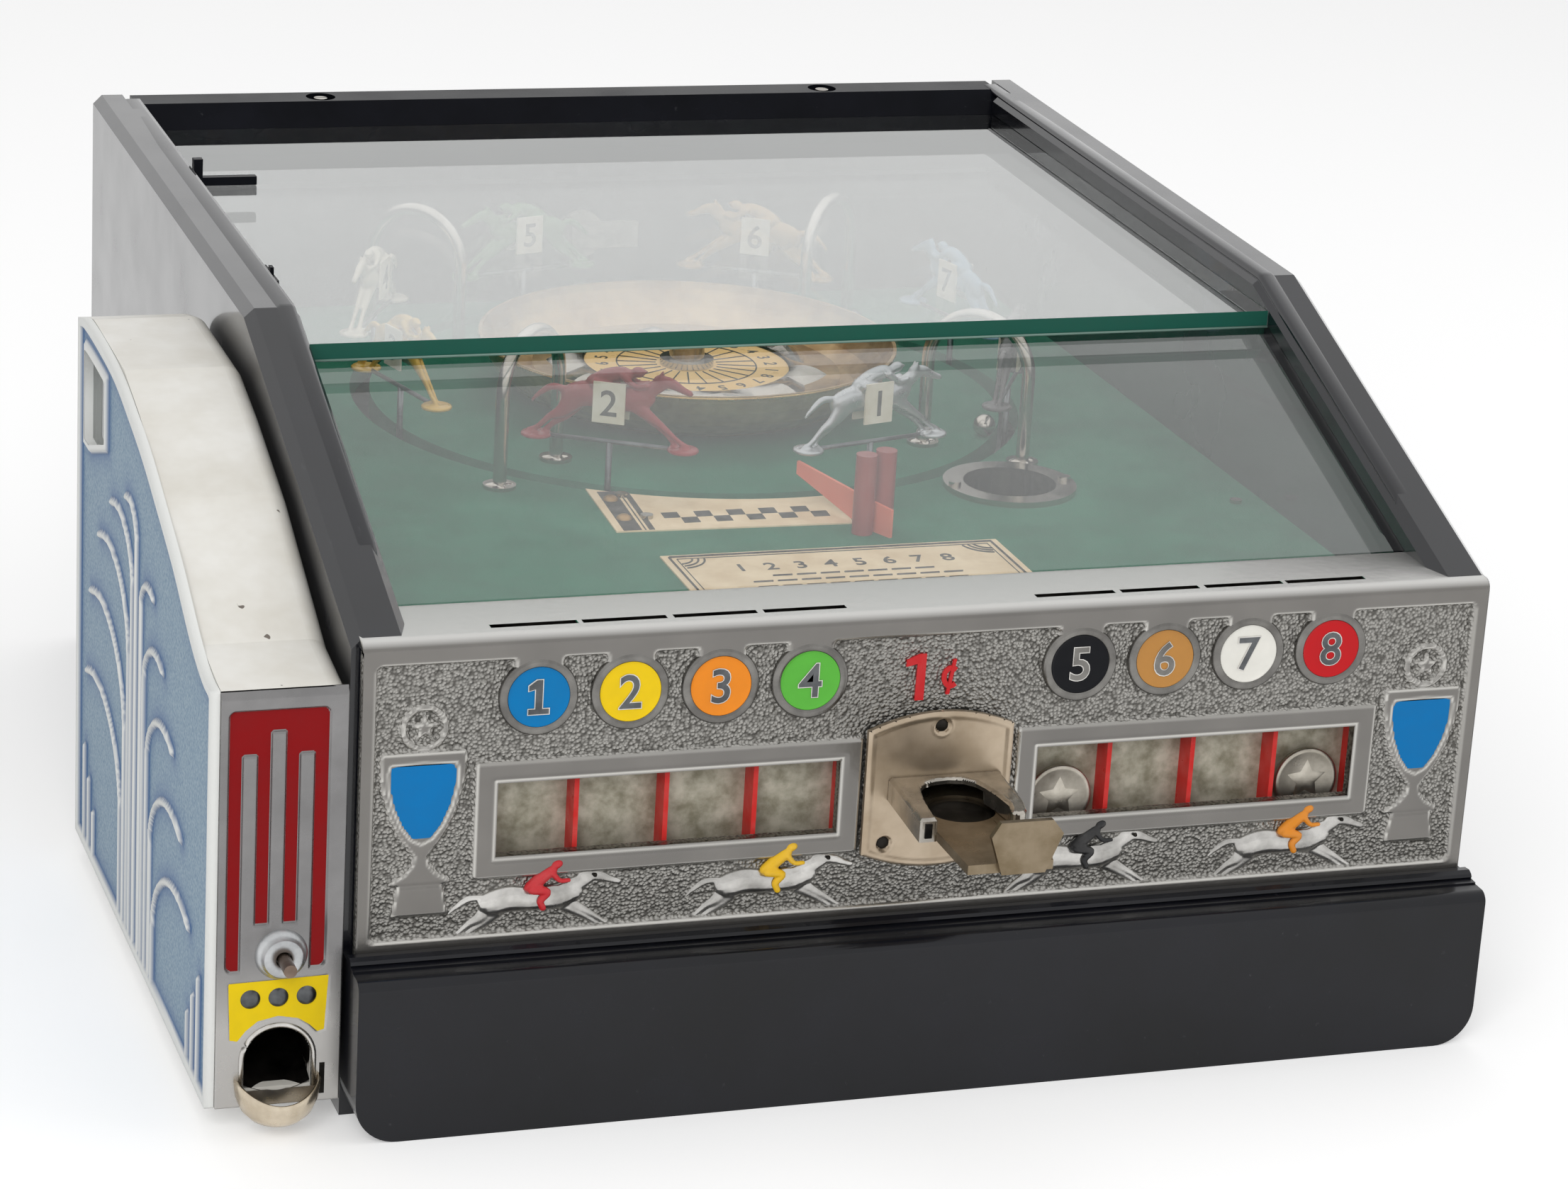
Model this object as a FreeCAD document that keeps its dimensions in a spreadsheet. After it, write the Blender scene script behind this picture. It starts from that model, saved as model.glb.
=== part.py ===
import FreeCAD, Part
import os
import re
import Sketcher
from FreeCAD import Placement, Rotation, Vector

# A coin-operated counter game with a horse-race carousel and a ball-gum vendor at its side.
# Lengths in millimetres, angles in degrees. x to the right, y to the back, z up.
# The zero point is in the middle of the cabinet's foot print, on the table.

CELLS = [
    # Cabinet
    ("half_width", 183), ("board_thick", 18), ("face_y", -207.5), ("top_z", 152), ("board_start", 5),
    ("knee_run", 160), ("knee_rise", 55), ("rail_deep", 21), ("back_rise", 60), ("board_chamfer", 3.2),
    ("rabbet_run", 410), ("rabbet_wide", 7.2), ("base_height", 52), ("base_out", 16),
    ("base_round", 13), ("base_nose", 3.5), ("floor_low", 0), ("floor_thick", 9), ("floor_gap", 5),
    ("mould_out", 8), ("mould_rise", 2.6),
    ("rail_half", 169.4), ("rail_bottom", 182), ("rail_bevel_run", 7.5), ("rail_bevel_drop", 9),
    ("rail_screw_x", 99), ("rail_screw_radius", 2.5), ("rail_dent", 5.5), ("rail_screw_back", 7),
    ("door_thick", 13), ("door_half", 169.2), ("door_low", 14), ("door_high", 180), ("door_set", 0.5),
    ("pin_radius", 3), ("pin_play", 0.05), ("pin_reach", 3.6), ("lock_radius", 9), ("lock_height", 160),
    # Glass
    ("glass_thick", 5), ("groove_deep", 3.6), ("glass_play", 0.2), ("glass_down", 8.3),
    ("rear_glass_run", 146), ("front_glass_run", 30.3), ("front_glass_down", 8.6),
    ("clip_run", 205), ("clip_long", 20), ("clip_wide", 3), ("clip_high", 8),
    ("bracket_run", 332), ("bracket_reach", 22.5), ("bracket_wide", 3.2), ("bracket_high", 10),
    # Front plate
    ("plate_half", 180.4), ("plate_thick", 4), ("plate_low", 99), ("rim_wide", 5), ("ground_deep", 1.5),
    ("ledge_run", 30), ("ledge_thick", 3), ("slot_pitch", 28), ("slot_first", 43.5), ("slot_long", 26),
    ("slot_wide", 2.8), ("slot_run", 8.8), ("disc_drop", 19.7), ("disc_radius", 9.6), ("boss_radius", 12.4),
    ("disc_thick", 1), ("window_in", 32), ("window_out", 138.7), ("window_top", 46.4), ("window_low", 69.8),
    ("frame_wide", 6.9), ("divider_wide", 1.5), ("channel_run", 12), ("channel_back_thick", 1.5),
    ("horse_relief", 1.3), ("relief_drop", 86), ("relief_long", 52), ("relief_high", 21),
    ("trophy_x", 161.5), ("trophy_wide", 19),
    # Coin slide
    ("seat_left", 24.3), ("seat_right", 22.6), ("seat_top", 36.8), ("seat_low", 77), ("seat_arch", 5.1),
    ("seat_thick", 2.5), ("arm_reach", 36), ("arm_wide", 6), ("mouth_left", 12), ("mouth_right", 15),
    ("slide_top", 58), ("slide_thick", 3), ("slide_reach", 60), ("slide_tail", 40), ("slide_play", 0.1),
    ("tongue_half", 3.5), ("tongue_gap", 0.3), ("arm_top", 52), ("arm_foot", 59.5), ("shelf_foot", 54),
    ("shelf_reach", 8), ("side_play", 0.2),
    ("coin_radius", 10.6), ("coin_thick", 1.95), ("nest_run", 15.6), ("tab_thick", 2), ("tab_high", 13.5),
    ("screw_radius", 2.2),
    # Coin flap
    ("flap_run", 17), ("flap_drop", 80.3), ("flap_rod", 2), ("flap_half", 150),
    # Playfield
    ("felt_drop", 17.6), ("field_thick", 9), ("field_front", 34), ("field_groove", 2.9),
    ("centre_x", 3.5), ("centre_back", 129), ("slot_radius", 116), ("track_wide", 7),
    ("stem_radius", 1.2), ("stem_high", 16), ("horse_long", 57), ("horse_high", 27),
    ("horse_thick", 6), ("foot_radius", 5.5), ("foot_thick", 1.6), ("tag_wide", 11), ("tag_high", 14),
    ("tag_thick", 0.8), ("tag_rise", 31), ("wire_radius", 0.9),
    ("hurdle_in", 94), ("hurdle_out", 132), ("hurdle_high", 52), ("hurdle_tube", 2.3), ("hurdle_foot", 5.6),
    ("bowl_rim", 74.5), ("bowl_foot", 47), ("bowl_high", 21.9), ("bowl_wall", 1.5),
    ("pocket_radius", 55), ("pocket_low", 4.8), ("dial_radius", 36.6),
    ("dial_thick", 3), ("dial_low", 8.8), ("hub_radius", 9.6), ("hub_thick", 2.4), ("dome_radius", 6.5),
    ("strip_thick", 0.5), ("card_half", 57.5), ("card_low", 60), ("card_high", 110),
    ("dowel_radius", 3.5), ("dowel_high", 27), ("dowel_space", 8.9), ("arm_thick", 1.2),
    ("gate_x", 20), ("gate_run", -155.2), ("gate_turn", 113.9), ("ball_angle", -34.1), ("ball_out", 110),
    ("ferrule_x", 82.6), ("ferrule_run", -118.2), ("ferrule_radius", 22.8), ("ferrule_hole", 15.9),
    ("ferrule_screw", 19.9), ("pin_head", 2.1), ("pin_high", 1.2),
    ("ferrule_thick", 2), ("ferrule_neck", 17.4), ("ball_radius", 4),
    # Drive under the playfield
    ("ring_low", 34), ("ring_thick", 3), ("ring_wide", 22), ("ring_hub", 20), ("wheel_high", 5),
    ("sleeve_radius", 12), ("spindle_radius", 5), ("turn_play", 0.06), ("flange_radius", 40),
    ("bridge_drop", 84), ("bridge_thick", 4), ("bridge_half", 70), ("bridge_deep", 26), ("leg_radius", 5),
    ("carousel_wheel", 30), ("lay_top_wheel", 20), ("rotor_wheel", 35), ("lay_low_wheel", 15),
    ("rub_play", 0.1), ("lay_shaft_radius", 3), ("lever_x", 40), ("lever_run", 90), ("lever_thick", 3),
    ("lever_post", 4), ("lever_wide", 8), ("box_half", 148), ("box_front", 8), ("box_back", 76),
    ("box_top", 95), ("box_wall", 1.5),
    # Gum vendor
    ("vend_out", 225), ("vend_in", 184.4), ("vend_low", 8.5), ("vend_deep", 220), ("vend_wall", 3.6),
    ("vend_panel", 3), ("vend_shoulder", 6), ("vend_shaft_x", 203), ("vend_shaft_z", 57),
    ("vend_shaft_radius", 2), ("vend_boss", 6.5), ("vend_wheel", 13), ("wheel_run", 12), ("wheel_long", 16),
    ("stub_reach", 14), ("shaft_long", 46), ("cup_x", 203.5), ("cup_radius", 13), ("cup_low", -2),
    ("cup_high", 12), ("cup_wall", 1.4), ("cup_set", 0.05), ("outlet_wide", 20.3), ("outlet_top", 33.5),
    ("outlet_low", 14), ("pane_thick", 2), ("pane_lap", 4), ("view_run", 171), ("view_long", 37),
    ("view_low", 148), ("view_high", 181), ("bolt_radius", 2.5), ("bolt_head", 4.5), ("bolt_long", 14),
    ("bolt_cap", 3), ("vend_front_top", 140), ("vend_back_top", 188.5), ("panel_sunk", 1.2),
    ("bar_x", -204.8), ("bar_pitch", 8.45), ("bar_half", 2.1), ("bar_side_top", 119.8), ("bar_mid_top", 127),
    ("bar_foot", 66.6), ("field_half", 14.9), ("field_low", 52), ("field_top", 133.8), ("field_deep", 1.5),
    ("label_half", 15), ("label_top", 48.6), ("boss_out", 2.6),
]

doc = FreeCAD.newDocument("trade_stimulator")
sheet = doc.addObject("Spreadsheet::Sheet", "sizes")
for row, (cell_name, cell_value) in enumerate(CELLS, 1):
    sheet.set("A%d" % row, cell_name)
    sheet.set("B%d" % row, str(cell_value))
    sheet.setAlias("B%d" % row, cell_name)
doc.recompute()

NAMES = {cell_name for cell_name, _ in CELLS}
nodes = {}


def formula(text):
    """The text with every cell name led by the name of the sheet."""
    def lead(found):
        word = found.group(0)
        return "sizes." + word if word in NAMES else word

    return re.sub(r"[a-z]\w*", lead, str(text))


def number(text):
    """The value of a formula now."""
    return float(sheet.evalExpression(str(text)))


def bind(item, prop, text):
    item.setExpression(prop, formula(text))


def move(item, at, axis=(0, 0, 1), turn=0):
    """Put an object at three formulas, turned about an axis."""
    item.Placement = Placement(Vector(*[number(text) for text in at]), Rotation(Vector(*axis), turn))
    for letter, text in zip("xyz", at):
        bind(item, "Placement.Base." + letter, text)


def node(name, item):
    item.Label = name
    nodes[name] = item
    return item


# Primitives and booleans
def box(x, y, z):
    """A block between two formulas along each axis."""
    item = doc.addObject("Part::Box", "block")
    for prop, (low, high) in zip(("Length", "Width", "Height"), (x, y, z)):
        bind(item, prop, "(%s) - (%s)" % (high, low))
    move(item, (x[0], y[0], z[0]))
    return item


AXES = {"z": ((0, 0, 1), 0), "x": ((0, 1, 0), 90), "y": ((1, 0, 0), -90)}


def rod(radius, length, at, axis="z"):
    """A cylinder from a point along an axis."""
    item = doc.addObject("Part::Cylinder", "rod")
    bind(item, "Radius", radius)
    bind(item, "Height", length)
    move(item, at, *AXES[axis])
    return item


def fuse(items):
    item = doc.addObject("Part::MultiFuse", "joined")
    item.Shapes = items
    item.Refine = True
    return item


def cut(base, tools):
    item = doc.addObject("Part::Cut", "cut")
    item.Base = base
    item.Tool = tools[0] if len(tools) == 1 else fuse(tools)
    item.Refine = True
    return item


def group(items):
    item = doc.addObject("Part::Compound", "group")
    item.Links = items
    return item


def common(first, second):
    item = doc.addObject("Part::Common", "shared")
    item.Base = first
    item.Tool = second
    return item


# Bodies with sketches
def sketch(body, plane, offset="0"):
    item = body.newObject("Sketcher::SketchObject", "sketch")
    flat = [f for f in body.Origin.OriginFeatures if f.Role == plane + "_Plane"][0]
    item.AttachmentSupport = [(flat, "")]
    item.MapMode = "FlatFace"
    bind(item, "AttachmentOffset.Base.z", offset)
    return item


def pin_point(item, index, spot, x, y):
    for kind, text in (("DistanceX", x), ("DistanceY", y)):
        mark = item.addConstraint(Sketcher.Constraint(kind, -1, 1, index, spot, number(text)))
        bind(item, "Constraints[%d]" % mark, text)


def draw(item, loops):
    """Closed loops of corners, or circles given as (x, y, radius)."""
    for loop in loops:
        first = item.GeometryCount
        if isinstance(loop, tuple):
            x, y, radius = loop
            spot = Vector(number(x), number(y), 0)
            item.addGeometry(Part.Circle(spot, Vector(0, 0, 1), number(radius)), False)
            pin_point(item, first, 3, x, y)
            mark = item.addConstraint(Sketcher.Constraint("Radius", first, number(radius)))
            bind(item, "Constraints[%d]" % mark, radius)
            continue
        spots = [Vector(number(x), number(y), 0) for x, y in loop]
        count = len(loop)
        for i in range(count):
            item.addGeometry(Part.LineSegment(spots[i], spots[(i + 1) % count]), False)
        for i in range(count):
            item.addConstraint(Sketcher.Constraint("Coincident", first + i, 2, first + (i + 1) % count, 1))
        for i, (x, y) in enumerate(loop):
            pin_point(item, first + i, 1, x, y)


def pad(body, plane, loops, low, high):
    """Add the loops' area between two formulas along the plane's axis."""
    offset = "-(%s)" % high if plane == "XZ" else low
    item = sketch(body, plane, offset)
    draw(item, loops)
    solid = body.newObject("PartDesign::Pad", "pad")
    solid.Profile = item
    bind(solid, "Length", "(%s) - (%s)" % (high, low))
    return solid


def pocket(body, plane, loops, low, high):
    """Take the loops' area away between two formulas along the plane's axis."""
    offset = "-(%s)" % low if plane == "XZ" else high
    item = sketch(body, plane, offset)
    draw(item, loops)
    solid = body.newObject("PartDesign::Pocket", "pocket")
    solid.Profile = item
    bind(solid, "Length", "(%s) - (%s)" % (high, low))
    return solid


def prism(plane, loops, low, high):
    body = doc.addObject("PartDesign::Body", "body")
    pad(body, plane, loops, low, high)
    return body


def turned(loop, at):
    """A body turned about a vertical axis from a profile of (radius, height)."""
    body = doc.addObject("PartDesign::Body", "turned")
    item = sketch(body, "XZ")
    draw(item, [loop])
    solid = body.newObject("PartDesign::Revolution", "revolution")
    solid.Profile = item
    solid.ReferenceAxis = (item, ["V_Axis"])
    solid.Angle = 360
    move(body, at)
    return body


def edges(body, test):
    """The names of the body's edges whose bounding box passes a test."""
    doc.recompute()
    found = []
    for index, edge in enumerate(body.Tip.Shape.Edges, 1):
        if test(edge.BoundBox):
            found.append("Edge%d" % index)
    return found


def soften(body, kind, test, size):
    names = edges(body, test)
    tip = body.Tip
    item = body.newObject("PartDesign::" + kind, kind.lower())
    item.Base = (tip, names)
    bind(item, "Radius" if kind == "Fillet" else "Size", size)
    return item


def rect(x, y):
    return [(x[0], y[0]), (x[1], y[0]), (x[1], y[1]), (x[0], y[1])]


def y_at(run):
    return "face_y + " + run


def down(drop):
    return "top_z - " + drop


# Side boards with glass grooves, a groove for the playfield and a rabbet at the back
BACK_RUN = "(rabbet_run + rail_deep)"
CENTRE_RUN = "(rabbet_run - centre_back)"
RAIL_SLOPE = "((back_rise - knee_rise) / (%s - knee_run))" % BACK_RUN
RUN_SLOPE = "(knee_rise / (knee_run - board_start))"


def rear_height(run, below):
    """Height of a line under the rear run of the side boards."""
    return "top_z + knee_rise + (%s - knee_run) * %s - (%s)" % (run, RAIL_SLOPE, below)


def front_height(run, below):
    """Height of a line under the front run of the side boards."""
    return "top_z + (%s - board_start) * %s - (%s)" % (run, RUN_SLOPE, below)


def side_board(side):
    profile = [(y_at("board_start"), "0"), (y_at(BACK_RUN), "0"), (y_at(BACK_RUN), "top_z + back_rise"),
               (y_at("knee_run"), "top_z + knee_rise"), (y_at("board_start"), "top_z")]
    outer, inner = "half_width", "half_width - board_thick"
    span = ("-" + outer, "-(%s)" % inner) if side < 0 else (inner, outer)
    body = prism("YZ", [profile], *span)
    top = number("top_z") - 0.1
    soften(body, "Chamfer", lambda b: b.ZMin > top and b.YLength > 50, "board_chamfer")

    def inner_band(depth):
        if side < 0:
            return ("-(half_width - board_thick + %s)" % depth, "-(half_width - board_thick) + 1")
        return ("half_width - board_thick - 1", "half_width - board_thick + %s" % depth)

    under, over = "glass_down + glass_thick", "glass_down - glass_play"
    rear = [(y_at("rear_glass_run"), rear_height("rear_glass_run", under)),
            (y_at("rabbet_run + 1"), rear_height("rabbet_run", under)),
            (y_at("rabbet_run + 1"), rear_height("rabbet_run", over)),
            (y_at("rear_glass_run"), rear_height("rear_glass_run", over))]
    pocket(body, "YZ", [rear], *inner_band("groove_deep"))
    under, over = "front_glass_down + glass_thick * 1.061", "front_glass_down - glass_play"
    high_end, low_end = "rear_glass_run + 2", "front_glass_run - 0.2"
    front = [(y_at(high_end), front_height(high_end, under)), (y_at(high_end), front_height(high_end, over)),
             (y_at(low_end), front_height(low_end, over)), (y_at(low_end), front_height(low_end, under))]
    pocket(body, "YZ", [front], *inner_band("groove_deep"))
    shelf = rect((y_at("field_front"), y_at("rabbet_run + 1")),
                 (down("felt_drop - field_thick"), down("felt_drop")))
    pocket(body, "YZ", [shelf], *inner_band("field_groove + 0.1"))
    back = rect((y_at("rabbet_run"), y_at(BACK_RUN + " + 1")), ("-1", "top_z + back_rise + 1"))
    pocket(body, "YZ", [back], *inner_band("rabbet_wide"))
    pin = (y_at("rabbet_run + door_set + door_thick / 2"), "door_low + door_thick / 2", "pin_radius")
    pocket(body, "YZ", [pin], *inner_band("rabbet_wide + pin_reach"))
    return body


node("left_side_board", side_board(-1))
node("right_side_board", side_board(1))

# Foot board, moulding and floor
base = prism("YZ", [rect((y_at("-base_out"), y_at("board_start")), ("0", "base_height"))],
             "-half_width", "half_width")
nose_y = number("face_y - base_out") + 0.1
base_top = number("base_height") - 0.1
soften(base, "Fillet", lambda b: b.YMax < nose_y and b.ZMin > base_top, "base_nose")
soften(base, "Fillet", lambda b: b.ZMax < 0.1 and b.YLength > 15, "base_round")
node("base_board", base)
bead = [(y_at("-mould_out"), "base_height"), (y_at("board_start"), "base_height"),
        (y_at("board_start"), down("plate_low")), (y_at("-0.1"), down("plate_low")),
        (y_at("-0.1"), "base_height + mould_rise"), (y_at("-3"), "base_height + mould_rise + 0.3"),
        (y_at("-4.6"), "base_height + mould_rise * 0.8"), (y_at("-5.2"), "base_height + mould_rise * 0.45"),
        (y_at("-4.8"), "base_height + mould_rise * 0.25"), (y_at("-mould_out"), "base_height + 0.5")]
node("foot_moulding", prism("YZ", [bead], "-half_width", "half_width"))
node("bottom_board", box(("board_thick - half_width", "half_width - board_thick"),
                         (y_at("board_start"), y_at("rabbet_run - floor_gap")),
                         ("floor_low", "floor_low + floor_thick")))

# Back rail, its screws and the back door
rail_profile = [(y_at("rabbet_run"), "rail_bottom"), (y_at(BACK_RUN), "rail_bottom"),
                (y_at(BACK_RUN), "top_z + back_rise - 0.3"),
                (y_at("rabbet_run + rail_bevel_run"), "top_z + back_rise - 0.5"),
                (y_at("rabbet_run"), "top_z + back_rise - rail_bevel_drop + 0.4")]
rail = prism("YZ", [rail_profile], "-rail_half", "rail_half")
screw_run = BACK_RUN + " - rail_screw_back"
for side in ("-", ""):
    pocket(rail, "XY", [(side + "rail_screw_x", y_at(screw_run), "rail_dent")],
           "top_z + back_rise - 2", "top_z + back_rise + 1")
    pocket(rail, "XY", [(side + "rail_screw_x", y_at(screw_run), "rail_screw_radius")],
           "top_z + back_rise - 25", "top_z + back_rise")
node("back_rail", rail)
rail_screws = []
for side in ("-", ""):
    head = rod("rail_screw_radius", "24.2",
               (side + "rail_screw_x", y_at(screw_run), "top_z + back_rise - 25"))
    nick = box((side + "rail_screw_x - 3", side + "rail_screw_x + 3"),
               (y_at(screw_run + " - 0.4"), y_at(screw_run + " + 0.4")),
               ("top_z + back_rise - 1.6", "top_z + back_rise"))
    rail_screws.append(cut(head, [nick]))
node("back_rail_screws", group(rail_screws))
door_y = "rabbet_run + door_set"
door = prism("YZ", [rect((y_at(door_y), y_at(door_y + " + door_thick")), ("door_low", "door_high"))],
             "-door_half", "door_half")
door_foot = number("door_low") + 0.1
soften(door, "Fillet", lambda b: b.ZMax < door_foot and b.XLength > 50, "door_thick / 2 - 0.05")
hinge = (y_at(door_y + " + door_thick / 2"), "door_low + door_thick / 2")
for span in (("-door_half - 1", "10 - door_half"), ("door_half - 10", "door_half + 1")):
    pocket(door, "YZ", [hinge + ("pin_radius + pin_play",)], *span)
pocket(door, "XZ", [("0", "lock_height", "lock_radius")],
       y_at(door_y + " - 1"), y_at(door_y + " + door_thick + 1"))
node("back_door", door)
pins = []
for side in (-1, 1):
    reach = "half_width - board_thick + rabbet_wide + pin_reach"
    start = "-(%s)" % reach if side < 0 else "door_half - 9"
    pins.append(rod("pin_radius", reach + " - door_half + 9", (start,) + hinge, "x"))
node("door_pins", group(pins))
barrel = rod("lock_radius", "door_thick + 4", ("0", y_at(door_y + " - 2"), "lock_height"), "y")
cam = box(("-4", "22"), (y_at(door_y + " - 4"), y_at(door_y + " - 2")),
          ("lock_height - 5", "lock_height + 5"))
key = box(("-0.6", "0.6"), (y_at(door_y + " + door_thick - 2"), y_at(door_y + " + door_thick + 3")),
          ("lock_height - 4", "lock_height + 4"))
node("door_lock", cut(fuse([barrel, cam]), [key]))

# Glass panes, the clip and the bracket that hold the rear one
pane_half = "half_width - board_thick + groove_deep - 0.1"
rear_pane = [(y_at("rear_glass_run + 0.2"), rear_height("rear_glass_run", "glass_down + glass_thick")),
             (y_at("rabbet_run - 0.1"), rear_height("rabbet_run", "glass_down + glass_thick")),
             (y_at("rabbet_run - 0.1"), rear_height("rabbet_run", "glass_down")),
             (y_at("rear_glass_run + 0.2"), rear_height("rear_glass_run", "glass_down"))]
node("rear_glass", prism("YZ", [rear_pane], "-(%s)" % pane_half, pane_half))
tilt_run = "glass_thick * 0.334"
tilt_drop = "glass_thick * 0.943"
front_pane = [(y_at("front_glass_run"), front_height("front_glass_run", "front_glass_down")),
              (y_at("front_glass_run + " + tilt_run),
               front_height("front_glass_run", "front_glass_down + " + tilt_drop)),
              (y_at("rear_glass_run + " + tilt_run),
               front_height("rear_glass_run", "front_glass_down + " + tilt_drop)),
              (y_at("rear_glass_run"), front_height("rear_glass_run", "front_glass_down"))]
node("front_glass", prism("YZ", [front_pane], "-(%s)" % pane_half, pane_half))
clip_z = rear_height("clip_run", "glass_down")
wall = "board_thick - half_width"
clip_bar = box((wall, wall + " + clip_wide"), (y_at("clip_run"), y_at("clip_run + clip_long")),
               (clip_z + " + 0.4", clip_z + " + 0.4 + clip_wide"))
clip_back = box((wall, wall + " + 1.2"), (y_at("clip_run"), y_at("clip_run + clip_wide")),
                (clip_z + " + 0.4", clip_z + " + clip_high"))
bracket_z = rear_height("bracket_run", "glass_down")
bracket_span = (y_at("bracket_run"), y_at("bracket_run + bracket_wide"))
bracket_bar = box((wall, wall + " + bracket_reach"), bracket_span,
                  (bracket_z + " + 0.4", bracket_z + " + 0.4 + clip_wide"))
bracket_leg = box((wall, wall + " + bracket_wide"), bracket_span,
                  (bracket_z + " + 0.4", bracket_z + " + bracket_high"))
node("glass_clip", group([fuse([clip_bar, clip_back]), fuse([bracket_bar, bracket_leg])]))

# Front plate: a cast wall with a ledge, raised frames and relief on a sunk ground
plate = prism("XZ", [rect(("-plate_half", "plate_half"), (down("plate_low"), "top_z"))],
              "face_y", y_at("plate_thick"))
inside = "(half_width - board_thick - 0.3)"
pad(plate, "XY", [rect(("-" + inside, inside), (y_at("plate_thick - 1"), y_at("ledge_run")))],
    down("ledge_thick"), "top_z")
GROUND = [rect(("rim_wide - plate_half", "plate_half - rim_wide"),
               (down("(plate_low - rim_wide)"), down("rim_wide")))]
for side in (-1, 1):
    low, high = ("-window_out - frame_wide", "-window_in + frame_wide")
    if side > 0:
        low, high = ("window_in - frame_wide + 0.4", "window_out + frame_wide")
    GROUND.append(rect((low, high), (down("(window_low + frame_wide)"), down("(window_top - frame_wide)"))))
    for i in range(4):
        spot = "%d * (slot_first + slot_pitch * %d)" % (side, i)
        GROUND.append((spot, down("disc_drop"), "boss_radius"))
pocket(plate, "XZ", GROUND, "face_y", "face_y + ground_deep")

# Running-horse outline, nose to the right: length fractions from the middle, height fractions from the feet
RELIEF_X = ("-126", "-52.3", "48.6", "119.2")
RELIEF = [(-0.48, 0.10), (-0.36, 0.14), (-0.24, 0.36), (0.00, 0.40), (0.18, 0.34), (0.30, 0.10),
          (0.46, 0.00), (0.36, 0.20), (0.30, 0.44), (0.38, 0.60), (0.50, 0.62), (0.46, 0.74),
          (0.34, 0.84), (0.20, 0.70), (0.12, 0.98), (0.00, 1.00), (-0.08, 0.74), (-0.26, 0.68),
          (-0.50, 0.52), (-0.34, 0.46), (-0.38, 0.26)]


def outline(points, x, z, long, high):
    return [("%s + %s * %s" % (x, px, long), "%s + %s * %s" % (z, pz, high)) for px, pz in points]


for spot in RELIEF_X:
    shape = outline(RELIEF, spot, down("(relief_drop + relief_high / 2)"), "relief_long", "relief_high")
    pad(plate, "XZ", [shape], "face_y + ground_deep - horse_relief", y_at("ground_deep + 0.5"))
TROPHY = [(-0.30, -87), (0.30, -87), (0.24, -80), (0.10, -76), (0.10, -66), (0.50, -56),
          (0.50, -42), (0.30, -38), (0.30, -28), (-0.30, -28), (-0.30, -38), (-0.50, -42),
          (-0.50, -56), (-0.10, -66), (-0.10, -76), (-0.24, -80)]
for side in ("-", ""):
    loop = [("%strophy_x + %s * trophy_wide" % (side, px), "top_z + %s" % pz) for px, pz in TROPHY]
    pad(plate, "XZ", [loop], "face_y + ground_deep - horse_relief", y_at("ground_deep + 0.5"))
for side in (-1, 1):
    window = rect(("%d * window_out" % side, "%d * window_in" % side),
                  (down("window_low"), down("window_top")))
    pocket(plate, "XZ", [window], "face_y - 1", y_at("plate_thick + 1"))
    for i in range(4):
        spot = "%d * (slot_first + slot_pitch * %d)" % (side, i)
        slot = rect((spot + " - slot_long / 2", spot + " + slot_long / 2"),
                    (y_at("slot_run - slot_wide / 2"), y_at("slot_run + slot_wide / 2")))
        pocket(plate, "XY", [slot], down("(ledge_thick + 1)"), "top_z + 1")
        pocket(plate, "XZ", [(spot, down("disc_drop"), "disc_radius + 0.1")],
               "face_y - 1", y_at("disc_thick"))
mouth = rect(("-mouth_left - side_play", "mouth_right + side_play"),
             (down("(slide_top + slide_thick + side_play)"), down("(arm_top + 0.5)")))
pocket(plate, "XZ", [mouth], "face_y - 1", y_at("plate_thick + 1"))
SEAT_SCREWS = (("-0.5", "36.6"), ("15.5", "73.8"), ("-17.1", "73.8"))
for x, z in SEAT_SCREWS:
    pocket(plate, "XZ", [(x, down(z), "screw_radius")], "face_y - 1", y_at("plate_thick + 1"))
node("front_plate", plate)

# Number discs in the bosses
discs = []
for side in (-1, 1):
    for i in range(4):
        spot = "%d * (slot_first + slot_pitch * %d)" % (side, i)
        discs.append(rod("disc_radius", "disc_thick", (spot, "face_y", down("disc_drop")), "y"))
node("number_discs", group(discs))

# Coin channels behind the windows
channel_span = (down("(flap_drop - 3.4)"), down("ledge_thick"))
strips = []
for side in (-1, 1):
    for i in range(5):
        spot = "%d * (slot_first + slot_pitch * (%d - 0.5))" % (side, i)
        strips.append(box((spot + " - divider_wide / 2", spot + " + divider_wide / 2"),
                          (y_at("plate_thick"), y_at("channel_run")), channel_span))
node("coin_dividers", group(strips))
sheet_metal = box(("-flap_half", "flap_half"),
                  (y_at("channel_run"), y_at("channel_run + channel_back_thick")), channel_span)
gate = box(("-mouth_left - 6", "mouth_right + 6"), (y_at("channel_run - 1"), y_at("channel_run + 4")),
           (down("80"), down("45")))
back_parts = [cut(sheet_metal, [gate])]
for side in (-1, 1):
    low, high = ("-flap_half - 3", "-flap_half") if side < 0 else ("flap_half", "flap_half + 3")
    back_parts.append(box((low, high), (y_at("channel_run"), y_at("flap_run + 5")),
                          (down("(flap_drop + 5)"), down("60"))))
backing = cut(fuse(back_parts), [rod("flap_rod + turn_play", "2 * flap_half + 8",
                                     ("-flap_half - 4", y_at("flap_run"), down("flap_drop")), "x")])
node("window_back", backing)
coins = []
for i in (0, 3):
    coins.append(rod("coin_radius", "coin_thick",
                     ("slot_first + slot_pitch * %d" % i, y_at("slot_run - coin_thick / 2"),
                      down("(flap_drop - 3) + coin_radius")), "y"))
node("coins", group(coins))
flap_parts = [rod("flap_rod", "2 * flap_half + 5.6",
                  ("-flap_half - 2.8", y_at("flap_run"), down("flap_drop")), "x")]
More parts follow.
